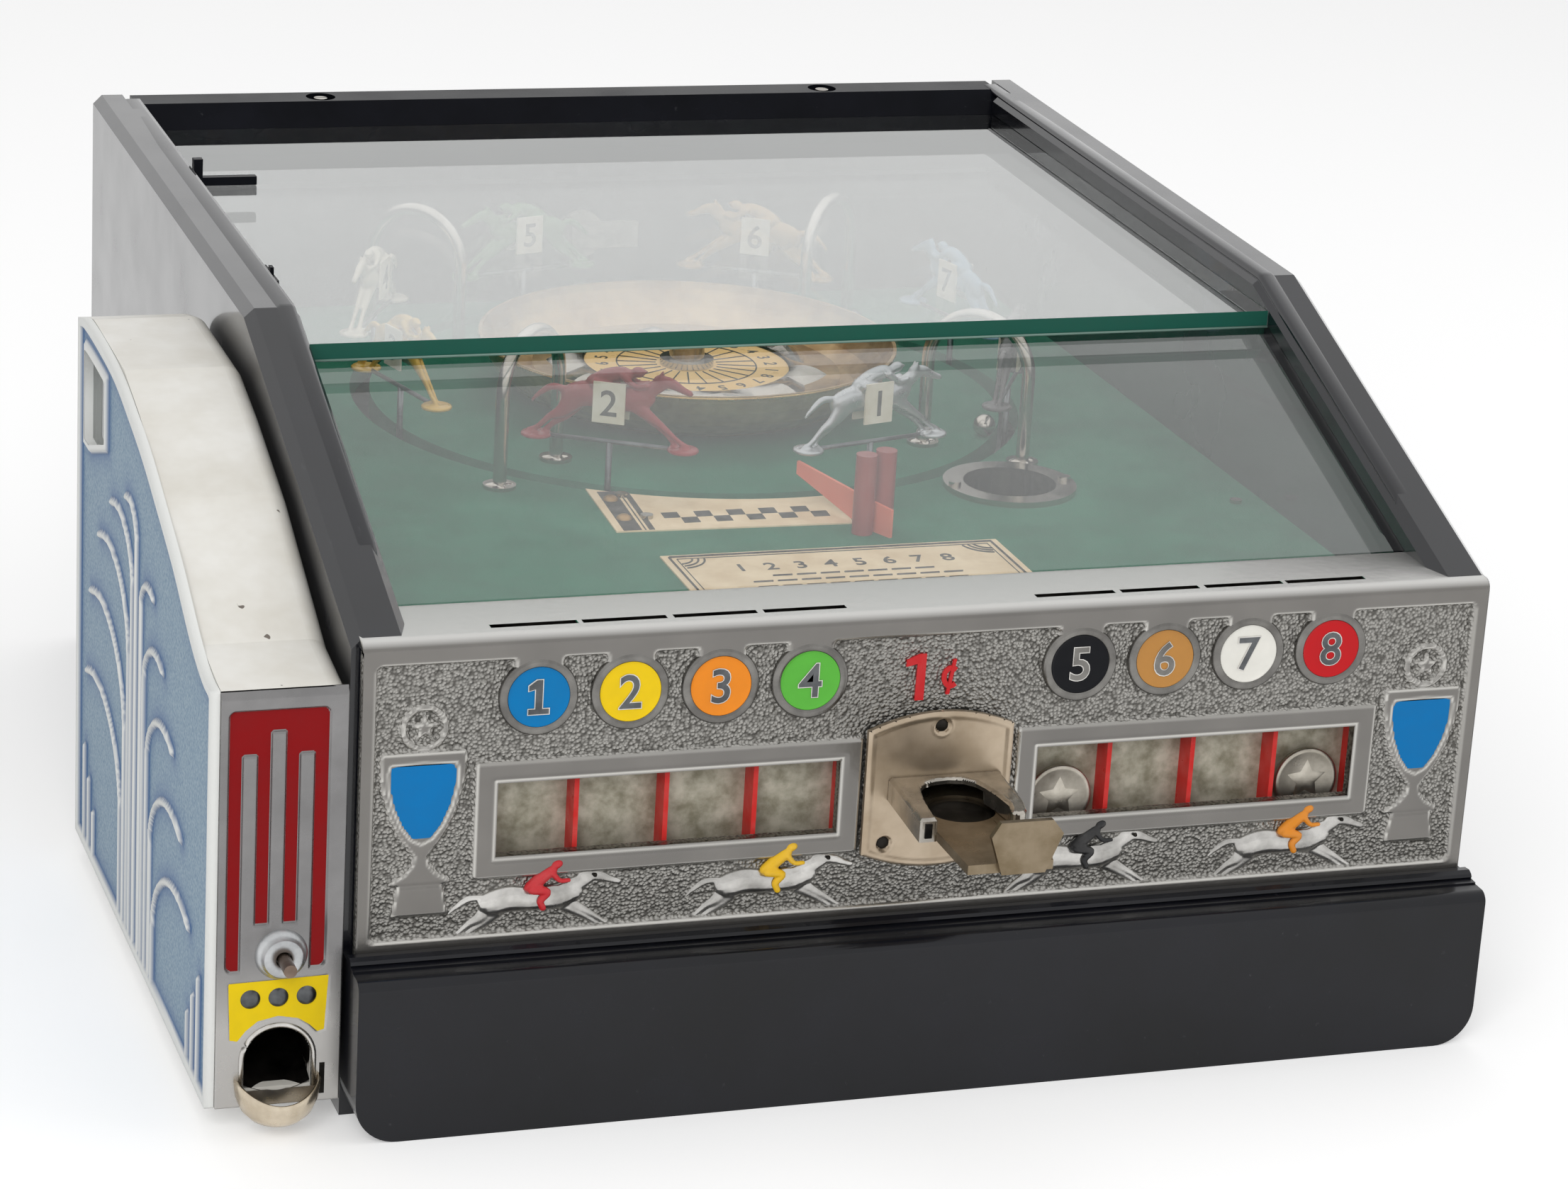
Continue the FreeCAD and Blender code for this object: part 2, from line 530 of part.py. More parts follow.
for side in (-1, 1):
    low, high = ("-window_out - 1", "-window_in + 1") if side < 0 else ("window_in - 1", "window_out + 1")
    flap_parts.append(box((low, high), (y_at("board_start"), y_at("flap_run")),
                          (down("(flap_drop - 1.5)"), down("(flap_drop - 3)"))))
    flap_parts.append(box((low, high), (y_at("flap_run - 1.5"), y_at("flap_run")),
                          (down("flap_drop"), down("(flap_drop - 3)"))))
node("coin_drop_flap", fuse(flap_parts))

# Coin slide in its housing
seat_mid = "(seat_right - seat_left) / 2"
SEAT = []
for t in (-1.0, -0.6, -0.2, 0.2, 0.6, 1.0):
    SEAT.append(("%s + %s * (seat_left + seat_right) / 2" % (seat_mid, t),
                 "top_z - seat_low - seat_arch * %s" % round(1 - t * t, 3)))
for t in (1.0, 0.6, 0.2, -0.2, -0.6, -1.0):
    SEAT.append(("%s + %s * (seat_left + seat_right) / 2" % (seat_mid, t),
                 "top_z - seat_top + seat_arch * %s" % round(1 - t * t, 3)))
seat = prism("XZ", [SEAT], y_at("-seat_thick"), "face_y")
arm_span = (down("arm_foot"), down("arm_top"))
arm_out = ("-mouth_left - arm_wide", "mouth_right + arm_wide")
arm_in = ("-mouth_left - side_play", "mouth_right + side_play")
for span in ((arm_out[0], arm_in[0]), (arm_in[1], arm_out[1])):
    pad(seat, "XZ", [rect(span, arm_span)], "face_y - arm_reach", "face_y - 1")
pad(seat, "XZ", [rect(arm_out, (down("shelf_foot"), down("arm_top")))], "face_y - shelf_reach", "face_y - 1")
throat_box = rect(arm_in, (down("(slide_top + slide_thick + side_play)"), down("shelf_foot")))
pocket(seat, "XZ", [throat_box], "face_y - 5", "face_y + 1")
for x, z in SEAT_SCREWS:
    pocket(seat, "XZ", [(x, down(z), "screw_radius")], "face_y - 5", "face_y + 1")
node("coin_slide_plate", seat)
slide = prism("XY", [rect(("slide_play - mouth_left", "mouth_right - slide_play"),
                          ("face_y - slide_reach + tab_thick", "face_y + slide_tail")),
                     ("(mouth_right - mouth_left) / 2", "face_y - nest_run", "coin_radius + 0.2")],
              down("(slide_top + slide_thick)"), down("slide_top"))
tongue = rect(("-tongue_half", "tongue_half - 0.5"), ("face_y + slide_tail - 1",
                                                      "face_y + lever_run - lever_wide / 2 - tongue_gap"))
pad(slide, "XY", [tongue], down("(slide_top + slide_thick)"), down("slide_top"))
tab_foot, tab_peak = "(slide_top + slide_thick)", "(slide_top - tab_high)"
tab_bend = "(slide_top - tab_high + 4.5)"
TAB = [("-2", down(tab_foot)), ("11.7", down(tab_foot)), ("16.7", down(tab_bend)), ("13.2", down(tab_peak)),
       ("-3.2", down(tab_peak)), ("-5.9", down(tab_bend))]
pad(slide, "XZ", [TAB], "face_y - slide_reach", "face_y - slide_reach + tab_thick")
node("coin_slide", slide)
node("slide_screws", group([rod("screw_radius", "5.6", (x, y_at("-2"), down(z)), "y")
                            for x, z in SEAT_SCREWS]))

# Playfield
felt, under = down("felt_drop"), down("(felt_drop + field_thick)")
centre = ("centre_x", y_at(CENTRE_RUN))
board = box(("-(half_width - board_thick + field_groove)", "half_width - board_thick + field_groove"),
            (y_at("field_front"), y_at("rabbet_run - 0.4")), (under, felt))
well = rod("slot_radius + track_wide / 2", "field_thick + 2", centre + (under + " - 1",))
ferrule_y = y_at(CENTRE_RUN + " + ferrule_run")
throat = rod("ferrule_neck", "field_thick + 2", ("ferrule_x", ferrule_y, under + " - 1"))
node("playfield_board", cut(board, [well, throat]))
disc = rod("slot_radius - track_wide / 2", "field_thick", centre + (under,))
disc_hole = rod("spindle_radius + 1", "field_thick + 2", centre + (under + " - 1",))
node("track_disc", cut(disc, [disc_hole]))


def radial(angle, radius, height):
    """A point at an angle and radius about the middle of the track."""
    return ("centre_x + (%s) * cos(%s)" % (radius, angle),
            "%s + (%s) * sin(%s)" % (centre[1], radius, angle), height)


# Racing horse outline with jockey, nose to the right, as fractions of its length and height
RACER = [(-0.50, 0.00), (-0.38, 0.00), (-0.34, 0.12), (-0.24, 0.22), (-0.12, 0.38), (0.00, 0.40),
         (0.12, 0.40), (0.20, 0.30), (0.32, 0.10), (0.38, 0.00), (0.50, 0.00), (0.44, 0.12),
         (0.32, 0.30), (0.26, 0.48), (0.34, 0.58), (0.48, 0.54), (0.50, 0.60), (0.40, 0.76),
         (0.28, 0.82), (0.22, 0.74), (0.16, 0.76), (0.18, 0.92), (0.08, 1.00), (0.00, 0.90),
         (-0.10, 0.80), (-0.12, 0.68), (-0.26, 0.68), (-0.34, 0.56), (-0.36, 0.36), (-0.44, 0.20)]
HORSE_ANGLES = {2: -120, 1: -75, 8: -30, 7: 15, 6: 60, 5: 105, 4: 150, 3: 195}
wire_z = "top_z - felt_drop + stem_high"


def racer():
    body = doc.addObject("PartDesign::Body", "racer")
    loop = outline(RACER, "0", "foot_thick - 0.2", "horse_long", "horse_high")
    pad(body, "XZ", [loop], "-horse_thick / 2", "horse_thick / 2")
    for sign in ("-", ""):
        pad(body, "XY", [(sign + "horse_long * 0.44", "0", "foot_radius")], "0", "foot_thick")
    pad(body, "YZ", [("0", "0.6", "wire_radius")], "-horse_long * 0.44", "horse_long * 0.44")
    pad(body, "XY", [("0", "0", "stem_radius")], "-(stem_high + ring_low - felt_drop)", "0.5")
    return body


tags = []
for number_shown, angle in sorted(HORSE_ANGLES.items()):
    body = racer()
    move(body, radial(angle, "slot_radius", wire_z), (0, 0, 1), angle + 90)
    node("horse_%d" % number_shown, body)
    for side in (-1, 1):
        tag = doc.addObject("Part::Box", "tag")
        bind(tag, "Length", "tag_wide")
        bind(tag, "Width", "tag_thick")
        bind(tag, "Height", "tag_high")
        off = "(horse_thick / 2 + tag_thick / 2 * (1 - (%d)))" % side
        out = "slot_radius - %d * %s" % (side, off)
        at = ("centre_x + (%s) * cos(%d) + tag_wide / 2 * sin(%d)" % (out, angle, angle),
              "%s + (%s) * sin(%d) - tag_wide / 2 * cos(%d)" % (centre[1], out, angle, angle),
              "top_z - felt_drop + tag_rise - tag_high / 2")
        move(tag, at, (0, 0, 1), angle + 90)
        tags.append(tag)
node("number_tags", group(tags))


# Hurdles of bent tube over the track
def hurdle(angle):
    mid = "(hurdle_in + hurdle_out) / 2"
    bend = "(hurdle_out - hurdle_in) / 2"
    straight = "hurdle_high - hurdle_tube - " + bend
    arch = doc.addObject("Part::Torus", "arch")
    bind(arch, "Radius1", bend)
    bind(arch, "Radius2", "hurdle_tube")
    arch.Angle3 = 180
    arch.Placement = Placement(Vector(0, 0, number(straight)), Rotation(Vector(1, 0, 0), 90))
    bind(arch, "Placement.Base.z", straight)
    parts = [arch]
    for sign in ("-", ""):
        parts.append(rod("hurdle_tube", straight, (sign + bend, "0", "0")))
        parts.append(rod("hurdle_foot", "1.2", (sign + bend, "0", "0")))
    item = fuse(parts)
    move(item, radial(angle, mid, felt), (0, 0, 1), angle)
    return item


for name, angle in (("front_left", -135), ("front_right", -45), ("back_left", 135), ("back_right", 45)):
    node("hurdle_" + name, hurdle(angle))

# Roulette bowl with its turning dial
BOWL = [(0.00, 0.00), (0.12, 0.03), (0.32, 0.10), (0.55, 0.24),
        (0.75, 0.44), (0.89, 0.68), (0.97, 0.88), (1.00, 1.00)]
bowl_loop = [("spindle_radius + 1", "0")]
for across, up in BOWL:
    bowl_loop.append(("bowl_foot + %s * (bowl_rim - bowl_foot)" % across, "%s * bowl_high" % up))
for across, up in reversed(BOWL):
    bowl_loop.append(("bowl_foot - bowl_wall * 0.8 + %s * (bowl_rim - bowl_foot) " % across,
                      "%s * (bowl_high - bowl_wall) + bowl_wall" % up))
bowl_loop.append(("spindle_radius + 1", "bowl_wall"))
node("bowl", turned(bowl_loop, centre + (felt,)))
pocket_loop = [("spindle_radius", "pocket_low"), ("pocket_radius - 3", "pocket_low"),
               ("pocket_radius", "pocket_low + 2"),
               ("pocket_radius", "pocket_low + 6"), ("dial_radius + 0.3", "pocket_low + 5"),
               ("dial_radius + 0.3", "dial_low"), ("spindle_radius", "dial_low")]
node("pocket_ring", turned(pocket_loop, centre + (felt,)))
dial = rod("dial_radius", "dial_thick", centre + (felt + " + dial_low",))
node("dial_disc", cut(dial, [rod("spindle_radius", "dial_thick + 2", centre + (felt + " + dial_low - 1",))]))
rotor_bottom = "(felt_drop - bridge_drop - 24)"
wheel_foot = "felt_drop - bridge_drop - 16"
dial_top = "dial_low + dial_thick"
SPINDLE = [("0", rotor_bottom), ("spindle_radius", rotor_bottom),
           ("spindle_radius", wheel_foot), ("rotor_wheel", wheel_foot),
           ("rotor_wheel", wheel_foot + " + wheel_high"), ("spindle_radius", wheel_foot + " + wheel_high"),
           ("spindle_radius", dial_top), ("hub_radius", dial_top),
           ("hub_radius", dial_top + " + hub_thick"), ("dome_radius", dial_top + " + hub_thick"),
           ("dome_radius * 0.9", dial_top + " + hub_thick + 6"),
           ("dome_radius * 0.5", dial_top + " + hub_thick + 9"), ("0", dial_top + " + hub_thick + 10")]
node("rotor_spindle", turned(SPINDLE, centre + (felt,)))

# Things printed, pinned or set on the felt
STRIP = [("-61.7", "-94"), ("-64.3", "-145.2"), ("16.2", "-147.9"), ("20.9", "-106")]
paper = prism("XY", [[(x, centre[1] + " + " + run) for x, run in STRIP]], felt, felt + " + strip_thick")
node("finish_strip", cut(paper, [rod("slot_radius + track_wide / 2 + 0.3", "6", centre + (felt + " - 2",))]))
node("rules_card", box(("-card_half", "card_half"), (y_at("card_low"), y_at("card_high")),
                       (felt, felt + " + strip_thick")))
gate_y = y_at(CENTRE_RUN + " + gate_run")
dowels = []
for sign in (-1, 1):
    dowels.append(rod("dowel_radius", "dowel_high",
                      ("gate_x - %d * dowel_space / 2 * sin(gate_turn)" % sign,
                       "%s + %d * dowel_space / 2 * cos(gate_turn)" % (gate_y, sign), felt)))
node("finish_dowels", group(dowels))
arm = prism("XZ", [[("-9", "0"), ("4", "0"), ("37", "9.5"), ("37", "14"), ("4", "10.5"), ("-9", "9.5")]],
            "-arm_thick / 2", "arm_thick / 2")
move(arm, ("gate_x", gate_y, felt), (0, 0, 1), number("gate_turn"))
node("finish_arm", arm)
spot = ("ferrule_x", ferrule_y)
rim = rod("ferrule_radius", "ferrule_thick", spot + (felt,))
neck = rod("ferrule_neck", "field_thick", spot + (under,))
ferrule_bore = rod("ferrule_hole", "field_thick + 6", spot + (under + " - 1",))
node("ring_ferrule", cut(fuse([rim, neck]), [ferrule_bore]))
PINS = [("ferrule_x - ferrule_screw", "ferrule_run", "ferrule_thick"),
        ("ferrule_x + ferrule_screw", "ferrule_run", "ferrule_thick"),
        ("154.6", "-145.3", "0"), ("-52.5", "-110", "strip_thick"), ("-50.5", "-133", "strip_thick")]
small = []
for x, run, lift in PINS:
    small.append(rod("pin_head", "pin_high", (x, "%s + %s" % (centre[1], run), felt + " + " + lift)))
node("playfield_screws", group(small))
ball = doc.addObject("Part::Sphere", "ball")
bind(ball, "Radius", "ball_radius")
move(ball, radial("ball_angle", "ball_out", felt + " + ball_radius"))
node("steel_ball", ball)

# Drive under the playfield: bridge with sleeve, carousel, lay shaft and kick lever
sleeve_low = down("bridge_drop")
frame_parts = [rod("flange_radius", "4", centre + (under + " - 4",)),
               rod("sleeve_radius", "bridge_drop - felt_drop - field_thick - 3",
                   centre + (sleeve_low + " + 1",)),
               box(("centre_x - bridge_half", "centre_x + bridge_half"),
                   (centre[1] + " - bridge_deep", centre[1] + " + bridge_deep"),
                   (sleeve_low, sleeve_low + " + bridge_thick"))]
for sx in ("-", "+"):
    for sy in ("-", "+"):
        frame_parts.append(rod("leg_radius", "top_z - bridge_drop - floor_low - floor_thick + 1",
                               ("centre_x %s (bridge_half - 8)" % sx,
                                "%s %s (bridge_deep - 8)" % (centre[1], sy), "floor_low + floor_thick")))
lay_x = "centre_x + carousel_wheel + lay_top_wheel + rub_play"
bores = [rod("spindle_radius + turn_play", "120", centre + (sleeve_low + " - 5",)),
         rod("lay_shaft_radius + turn_play", "20", (lay_x, centre[1], sleeve_low + " - 5"))]
node("drive_frame", cut(fuse(frame_parts), bores))
ring_z = down("ring_low")
outer_ring = rod("slot_radius + ring_wide / 2 - 2", "ring_thick", centre + (ring_z,))
inner_gap = rod("slot_radius - ring_wide / 2 - 2", "ring_thick + 2", centre + (ring_z + " - 1",))
spokes = [cut(outer_ring, [inner_gap]), rod("ring_hub", "ring_thick + 10", centre + (ring_z + " - 10",)),
          rod("carousel_wheel", "wheel_high", centre + (ring_z + " - 10",))]
for across in (True, False):
    long, short = "slot_radius - 5", "5"
    x, y = (long, short) if across else (short, long)
    spokes.append(box(("centre_x - (%s)" % x, "centre_x + " + x),
                      ("%s - (%s)" % (centre[1], y), "%s + %s" % (centre[1], y)),
                      (ring_z, ring_z + " + ring_thick")))
stem_holes = [rod("stem_radius", "ring_thick + 2", radial(angle, "slot_radius", ring_z + " - 1"))
              for angle in HORSE_ANGLES.values()]
sleeve_bore = rod("sleeve_radius + turn_play", "30", centre + (ring_z + " - 12",))
node("carousel", cut(fuse(spokes), [sleeve_bore] + stem_holes))
lay_low = down("(bridge_drop + 16)")
lay = [rod("lay_shaft_radius", "bridge_drop + 16 - ring_low", (lay_x, centre[1], down("(bridge_drop + 20)"))),
       rod("lay_top_wheel", "wheel_high", (lay_x, centre[1], ring_z + " - 10")),
       rod("lay_low_wheel", "wheel_high", (lay_x, centre[1], lay_low))]
node("lay_shaft", fuse(lay))
lever_y = "face_y + lever_run"
lever_z = down("(slide_top + slide_thick)")
reach = "lever_x - (mouth_right - mouth_left) / 2 + 6"
lever = fuse([box(("lever_x - (%s)" % reach, "lever_x + 48"),
                  (lever_y + " - lever_wide / 2", lever_y + " + lever_wide / 2"),
                  (lever_z, lever_z + " + lever_thick")),
              rod("lever_wide", "lever_thick", ("lever_x", lever_y, lever_z))])
lever_bore = rod("lever_post + turn_play", "lever_thick + 2", ("lever_x", lever_y, lever_z + " - 1"))
node("kick_lever", cut(lever, [lever_bore]))
walls = box(("-box_half", "box_half"), (y_at("box_front"), y_at("box_back")),
            ("floor_low + floor_thick", down("box_top")))
room = box(("box_wall - box_half", "box_half - box_wall"),
           (y_at("box_front + box_wall"), y_at("box_back - box_wall")),
           ("floor_low + floor_thick + box_wall", down("(box_top - 1)")))
lever_foot = fuse([rod("lever_post + 3", "top_z - slide_top - slide_thick - floor_low - floor_thick",
                       ("lever_x", lever_y, "floor_low + floor_thick")),
                   rod("lever_post", "lever_thick + 3", ("lever_x", lever_y, lever_z))])
node("cash_box", cut(walls, [room]))
node("lever_post", lever_foot)

# Gum vendor: a cast case, a side panel with a window, a cup and a dispensing shaft
VEND_TOP = [(28, 144), (86, 170), (128, 183.5), (154, 190), (208, 191)]
BOLTS = [("40", "60"), ("180", "60"), ("180", "140")]
SHAFT = ("-vend_shaft_x", "vend_shaft_z")
PANEL_IN = "-(vend_out - vend_panel)"


def vendor_profile(inset):
    low, deep = "vend_low + %s" % inset, "face_y + vend_deep - %s" % inset
    loop = [("face_y + %s" % inset, low), (deep, low), (deep, "vend_back_top - %s" % inset)]
    for run, rise in reversed(VEND_TOP):
        loop.append((y_at("%d - (%s) * 0.2" % (run, inset)), "%s - %s" % (rise, inset)))
    return loop + [("face_y + %s" % inset, "vend_front_top - %s" % inset)]


case = prism("YZ", [vendor_profile("0")], PANEL_IN, "-vend_in")
vend_inner = number("-vend_in") - 0.1
front_top = number("vend_front_top") - 1
soften(case, "Fillet", lambda b: b.XMin > vend_inner and b.ZMin > front_top and b.YLength > 5,
       "vend_shoulder")
pocket(case, "YZ", [vendor_profile("vend_wall")], PANEL_IN + " - 1", "-vend_in - vend_wall")

# Red field with three bars, a boss round the shaft and a label field over the outlet
field = [("-field_half", "field_low")]
for index, bar_top in enumerate(("bar_side_top", "bar_mid_top", "bar_side_top")):
    left = "(%d) * bar_pitch - bar_half" % (index - 1)
    right = "(%d) * bar_pitch + bar_half" % (index - 1)
    foot = ("field_low", "bar_foot", "bar_foot", "field_low")
    field += [(left, foot[index]), (left, bar_top), (right, bar_top), (right, foot[index + 1])]
field += [("field_half", "field_low"), ("field_half", "field_top"), ("-field_half", "field_top")]
field = [("bar_x + " + x, z) for x, z in field]
pocket(case, "XZ", [field], "face_y", "face_y + field_deep")
label = rect(("-cup_x - label_half", "-cup_x + label_half"), ("outlet_top + 2", "label_top"))
pocket(case, "XZ", [label], "face_y", "face_y + field_deep / 2")
pad(case, "XZ", [SHAFT + ("vend_boss",)], "face_y - boss_out", "face_y + 1")
outlet = rect(("-cup_x - outlet_wide / 2", "-cup_x + outlet_wide / 2"), ("outlet_low", "outlet_top"))
pocket(case, "XZ", [outlet], "face_y - 1", "face_y + vend_wall + 1")
pocket(case, "XZ", [SHAFT + ("vend_shaft_radius + turn_play",)],
       "face_y - boss_out - 1", "face_y + vend_wall + 1")
for run, rise in BOLTS:
    pocket(case, "YZ", [(y_at(run), rise, "bolt_radius + 0.05")], "-vend_in - vend_wall - 1", "-vend_in + 1")
node("vendor_case", case)

# Side panel: five sunk fields and a window with its pane behind
panel = prism("YZ", [vendor_profile("0")], "-vend_out", PANEL_IN)
view = rect((y_at("view_run"), y_at("view_run + view_long")), ("view_low", "view_high"))
pocket(panel, "YZ", [view], "-vend_out - 1", PANEL_IN + " + 1")
FIELDS = [("14", "38", "116"), ("46", "80", "144"), ("88", "122", "156"), ("130", "163", "176"),
          ("view_run", "view_run + view_long", "132")]
for start_run, end_run, field_high in FIELDS:
    sunk = rect((y_at(start_run), y_at(end_run)), ("26", field_high))
    pocket(panel, "YZ", [sunk], "-vend_out - 1", "-vend_out + panel_sunk")
node("vendor_side_panel", panel)
node("vendor_window", box((PANEL_IN, PANEL_IN + " + pane_thick"),
                          (y_at("view_run - pane_lap"), y_at("view_run + view_long + pane_lap")),
                          ("view_low - 3", "view_high + 3")))

# Cup under the outlet, dispensing shaft with its wheel, and the bolts into the cabinet
cup_spot = ("-cup_x", "face_y - cup_set")
outer = rod("cup_radius", "cup_high - cup_low", cup_spot + ("vend_low + cup_low",))
inner = rod("cup_radius - cup_wall", "cup_high - cup_low", cup_spot + ("vend_low + cup_low + cup_wall",))
half = box(("-cup_x - cup_radius - 1", "-cup_x + cup_radius + 1"),
           ("face_y - cup_radius - 1", "face_y - cup_set"),
           ("vend_low + cup_low - 1", "vend_low + cup_high + 1"))
node("vendor_cup", common(cut(outer, [inner]), half))
stub = rod("vend_shaft_radius", "shaft_long", ("-vend_shaft_x", "face_y - stub_reach", "vend_shaft_z"), "y")
wheel = rod("vend_wheel", "wheel_long", ("-vend_shaft_x", "face_y + wheel_run", "vend_shaft_z"), "y")
node("vendor_shaft", fuse([stub, wheel]))
bolts = []
for run, rise in BOLTS:
    shank = rod("bolt_radius", "bolt_long", ("-vend_in - vend_wall", y_at(run), rise), "x")
    head = rod("bolt_head", "bolt_cap", ("-vend_in - vend_wall - bolt_cap", y_at(run), rise), "x")
    bolts.append(fuse([shank, head]))
node("vendor_bolts", group(bolts))

# Clearance holes in the left side board for the vendor's bolts
for run, rise in BOLTS:
    pocket(nodes["left_side_board"], "YZ", [(y_at(run), rise, "bolt_radius")],
           "-half_width - 1", "-vend_in - vend_wall + bolt_long")

doc.recompute()
failed = [item.Name for item in doc.Objects if "Invalid" in item.State or "Error" in item.State]
if failed:
    raise RuntimeError("features that failed: %s" % failed)
os.makedirs("parts", exist_ok=True)
for name, item in nodes.items():
    shape = item.Shape
    if shape.isNull() or not shape.isValid():
        raise RuntimeError("bad shape: " + name)
    shape.exportStep("parts/%s.step" % name)
    b = shape.BoundBox
    print("%-20s solids %2d  x %7.1f %7.1f  y %7.1f %7.1f  z %6.1f %6.1f" % (
        name, len(shape.Solids), b.XMin, b.XMax, b.YMin, b.YMax, b.ZMin, b.ZMax))
print(len(nodes), "nodes")
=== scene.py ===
"""Looks of a counter-top horse race game with a gum vendor at its side."""
import math

import bmesh
import bpy
import numpy as np
from mathutils import Euler, Matrix, Vector


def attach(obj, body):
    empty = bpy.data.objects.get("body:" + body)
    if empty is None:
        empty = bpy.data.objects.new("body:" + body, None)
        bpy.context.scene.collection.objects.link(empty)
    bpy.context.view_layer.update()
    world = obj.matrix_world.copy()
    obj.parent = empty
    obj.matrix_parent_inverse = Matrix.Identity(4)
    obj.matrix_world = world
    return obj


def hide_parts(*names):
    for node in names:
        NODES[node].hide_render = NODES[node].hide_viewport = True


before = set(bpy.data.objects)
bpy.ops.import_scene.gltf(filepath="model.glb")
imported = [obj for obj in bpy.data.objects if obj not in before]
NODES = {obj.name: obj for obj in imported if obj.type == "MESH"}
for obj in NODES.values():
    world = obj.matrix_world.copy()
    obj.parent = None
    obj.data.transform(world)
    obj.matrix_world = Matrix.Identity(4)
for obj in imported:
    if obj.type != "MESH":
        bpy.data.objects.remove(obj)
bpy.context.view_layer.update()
scene = bpy.context.scene
MM = 0.001


# Colours and materials
def colour(code):
    """An sRGB hex code as linear red, green, blue and alpha."""
    parts = [int(code[i:i + 2], 16) / 255 for i in (1, 3, 5)]
    return tuple(c / 12.92 if c <= 0.04045 else ((c + 0.055) / 1.055) ** 2.4 for c in parts) + (1.0,)


def add(tree, kind, **values):
    """Add one node; a name with a capital is a socket, any other is a property. A socket is given a link, a
    node whose first output it takes, a hex colour or a value."""
    made = tree.nodes.new("ShaderNode" + kind)
    for name, value in values.items():
        if name[0].islower():
            setattr(made, name, value)
    for name, value in values.items():
        if name[0].isupper():
            socket = made.inputs[name.replace("_", " ")]
            if isinstance(value, bpy.types.Node):
                value = value.outputs[0]
            if isinstance(value, str):
                value = colour(value)
            if isinstance(value, bpy.types.NodeSocket):
                tree.links.new(value, socket)
            else:
                socket.default_value = value
    return made


def feed(source, node, socket):
    """Link a node's first output to a socket of another node in its tree."""
    node.id_data.links.new(source.outputs[0], node.inputs[socket])


def finish(name, base, metallic=0.0, roughness=0.5, **sockets):
    """A material with its node tree, its main shader and the place on the object in metres."""
    made = bpy.data.materials.new(name)
    made.use_nodes = True
    made.diffuse_color = colour(base)
    tree = made.node_tree
    shader = tree.nodes["Principled BSDF"]
    values = dict(Base_Color=colour(base), Metallic=metallic, Roughness=roughness, **sockets)
    for socket, value in values.items():
        shader.inputs[socket.replace("_", " ")].default_value = value
    place = add(tree, "TexCoord").outputs["Object"]
    return made, tree, shader, place


def per_mm(size):
    """The noise scale whose pattern repeats about every size millimetres."""
    return 1000.0 / size


def mottle(tree, shader, place, first, second, size, detail=4.0, low=0.35, high=0.65):
    """Blend the base colour between two hex colours by a noise of a size in millimetres."""
    noise = add(tree, "TexNoise", Vector=place, Scale=per_mm(size), Detail=detail, Roughness=0.6)
    share = add(tree, "MapRange", Value=noise.outputs["Fac"], From_Min=low, From_Max=high)
    mixed = add(tree, "MixRGB", Fac=share, Color1=first, Color2=second)
    feed(mixed, shader, "Base Color")
    return mixed


def gloss(tree, shader, place, low, high, size):
    """Let the roughness wander between two values, as handling and age do."""
    noise = add(tree, "TexNoise", Vector=place, Scale=per_mm(size), Detail=3.0)
    share = add(tree, "MapRange", Value=noise.outputs["Fac"], From_Min=0.3, From_Max=0.7,
                To_Min=low, To_Max=high)
    feed(share, shader, "Roughness")


def grain(tree, shader, place, size, depth, stretch=(1, 1, 1)):
    """Raise the surface by a noise of a size in millimetres and a depth in millimetres."""
    spread = add(tree, "Mapping", Vector=place, Scale=stretch)
    noise = add(tree, "TexNoise", Vector=spread, Scale=per_mm(size), Detail=3.0)
    bump = add(tree, "Bump", Height=noise.outputs["Fac"], Distance=depth * MM, Strength=1.0)
    feed(bump, shader, "Normal")


def black_paint(name, coat, dust, shine):
    """Old black lacquer on wood: deep gloss in two layers, hairline marks and a thin film of dust."""
    made, tree, shader, place = finish(name, "#15161a", roughness=0.3, Coat_Weight=coat, Coat_Roughness=0.06,
                                       Sheen_Weight=dust, Sheen_Roughness=0.15, Specular_IOR_Level=shine)
    mixed = mottle(tree, shader, place, "#0d0e12", "#14151b", 60)
    along = add(tree, "Mapping", Vector=place, Scale=(1.0, 0.08, 1.0))
    hair = add(tree, "TexNoise", Vector=along, Scale=per_mm(3.5), Detail=6.0, Roughness=0.7)
    rub = add(tree, "MapRange", Value=hair.outputs["Fac"], From_Min=0.66, From_Max=0.76, To_Max=0.35)
    worn = add(tree, "MixRGB", Fac=rub, Color1=mixed, Color2="#56575a")
    feed(worn, shader, "Base Color")
    gloss(tree, shader, place, 0.16, 0.3, 30)
    grain(tree, shader, place, 5.0, 0.03, stretch=(1, 0.2, 1))
    return made


def bare_wood():
    """Unpainted softwood boards inside the case: pale brown with grain along the length, dusty and matt."""
    made, tree, shader, place = finish("bare_wood", "#8a6a47", roughness=0.75)
    along = add(tree, "Mapping", Vector=place, Scale=(0.06, 1.0, 1.0))
    rings = add(tree, "TexNoise", Vector=along, Scale=per_mm(4), Detail=6.0, Roughness=0.65)
    mixed = add(tree, "MixRGB", Fac=rings.outputs["Fac"], Color1="#6b4d2f", Color2="#a58259")
    feed(mixed, shader, "Base Color")
    grain(tree, shader, place, 2.0, 0.1, stretch=(0.06, 1, 1))
    return made


def metal(name, base, metallic, roughness, clouds, shine=None, grit=None):
    """A worn metal: clouds are two colours and their size, shine is two roughnesses and their size, and grit
    is the size and depth of its grain."""
    made, tree, shader, place = finish(name, base, metallic=metallic, roughness=roughness)
    mottle(tree, shader, place, *clouds)
    if shine:
        gloss(tree, shader, place, *shine)
    if grit:
        grain(tree, shader, place, *grit)
    return made


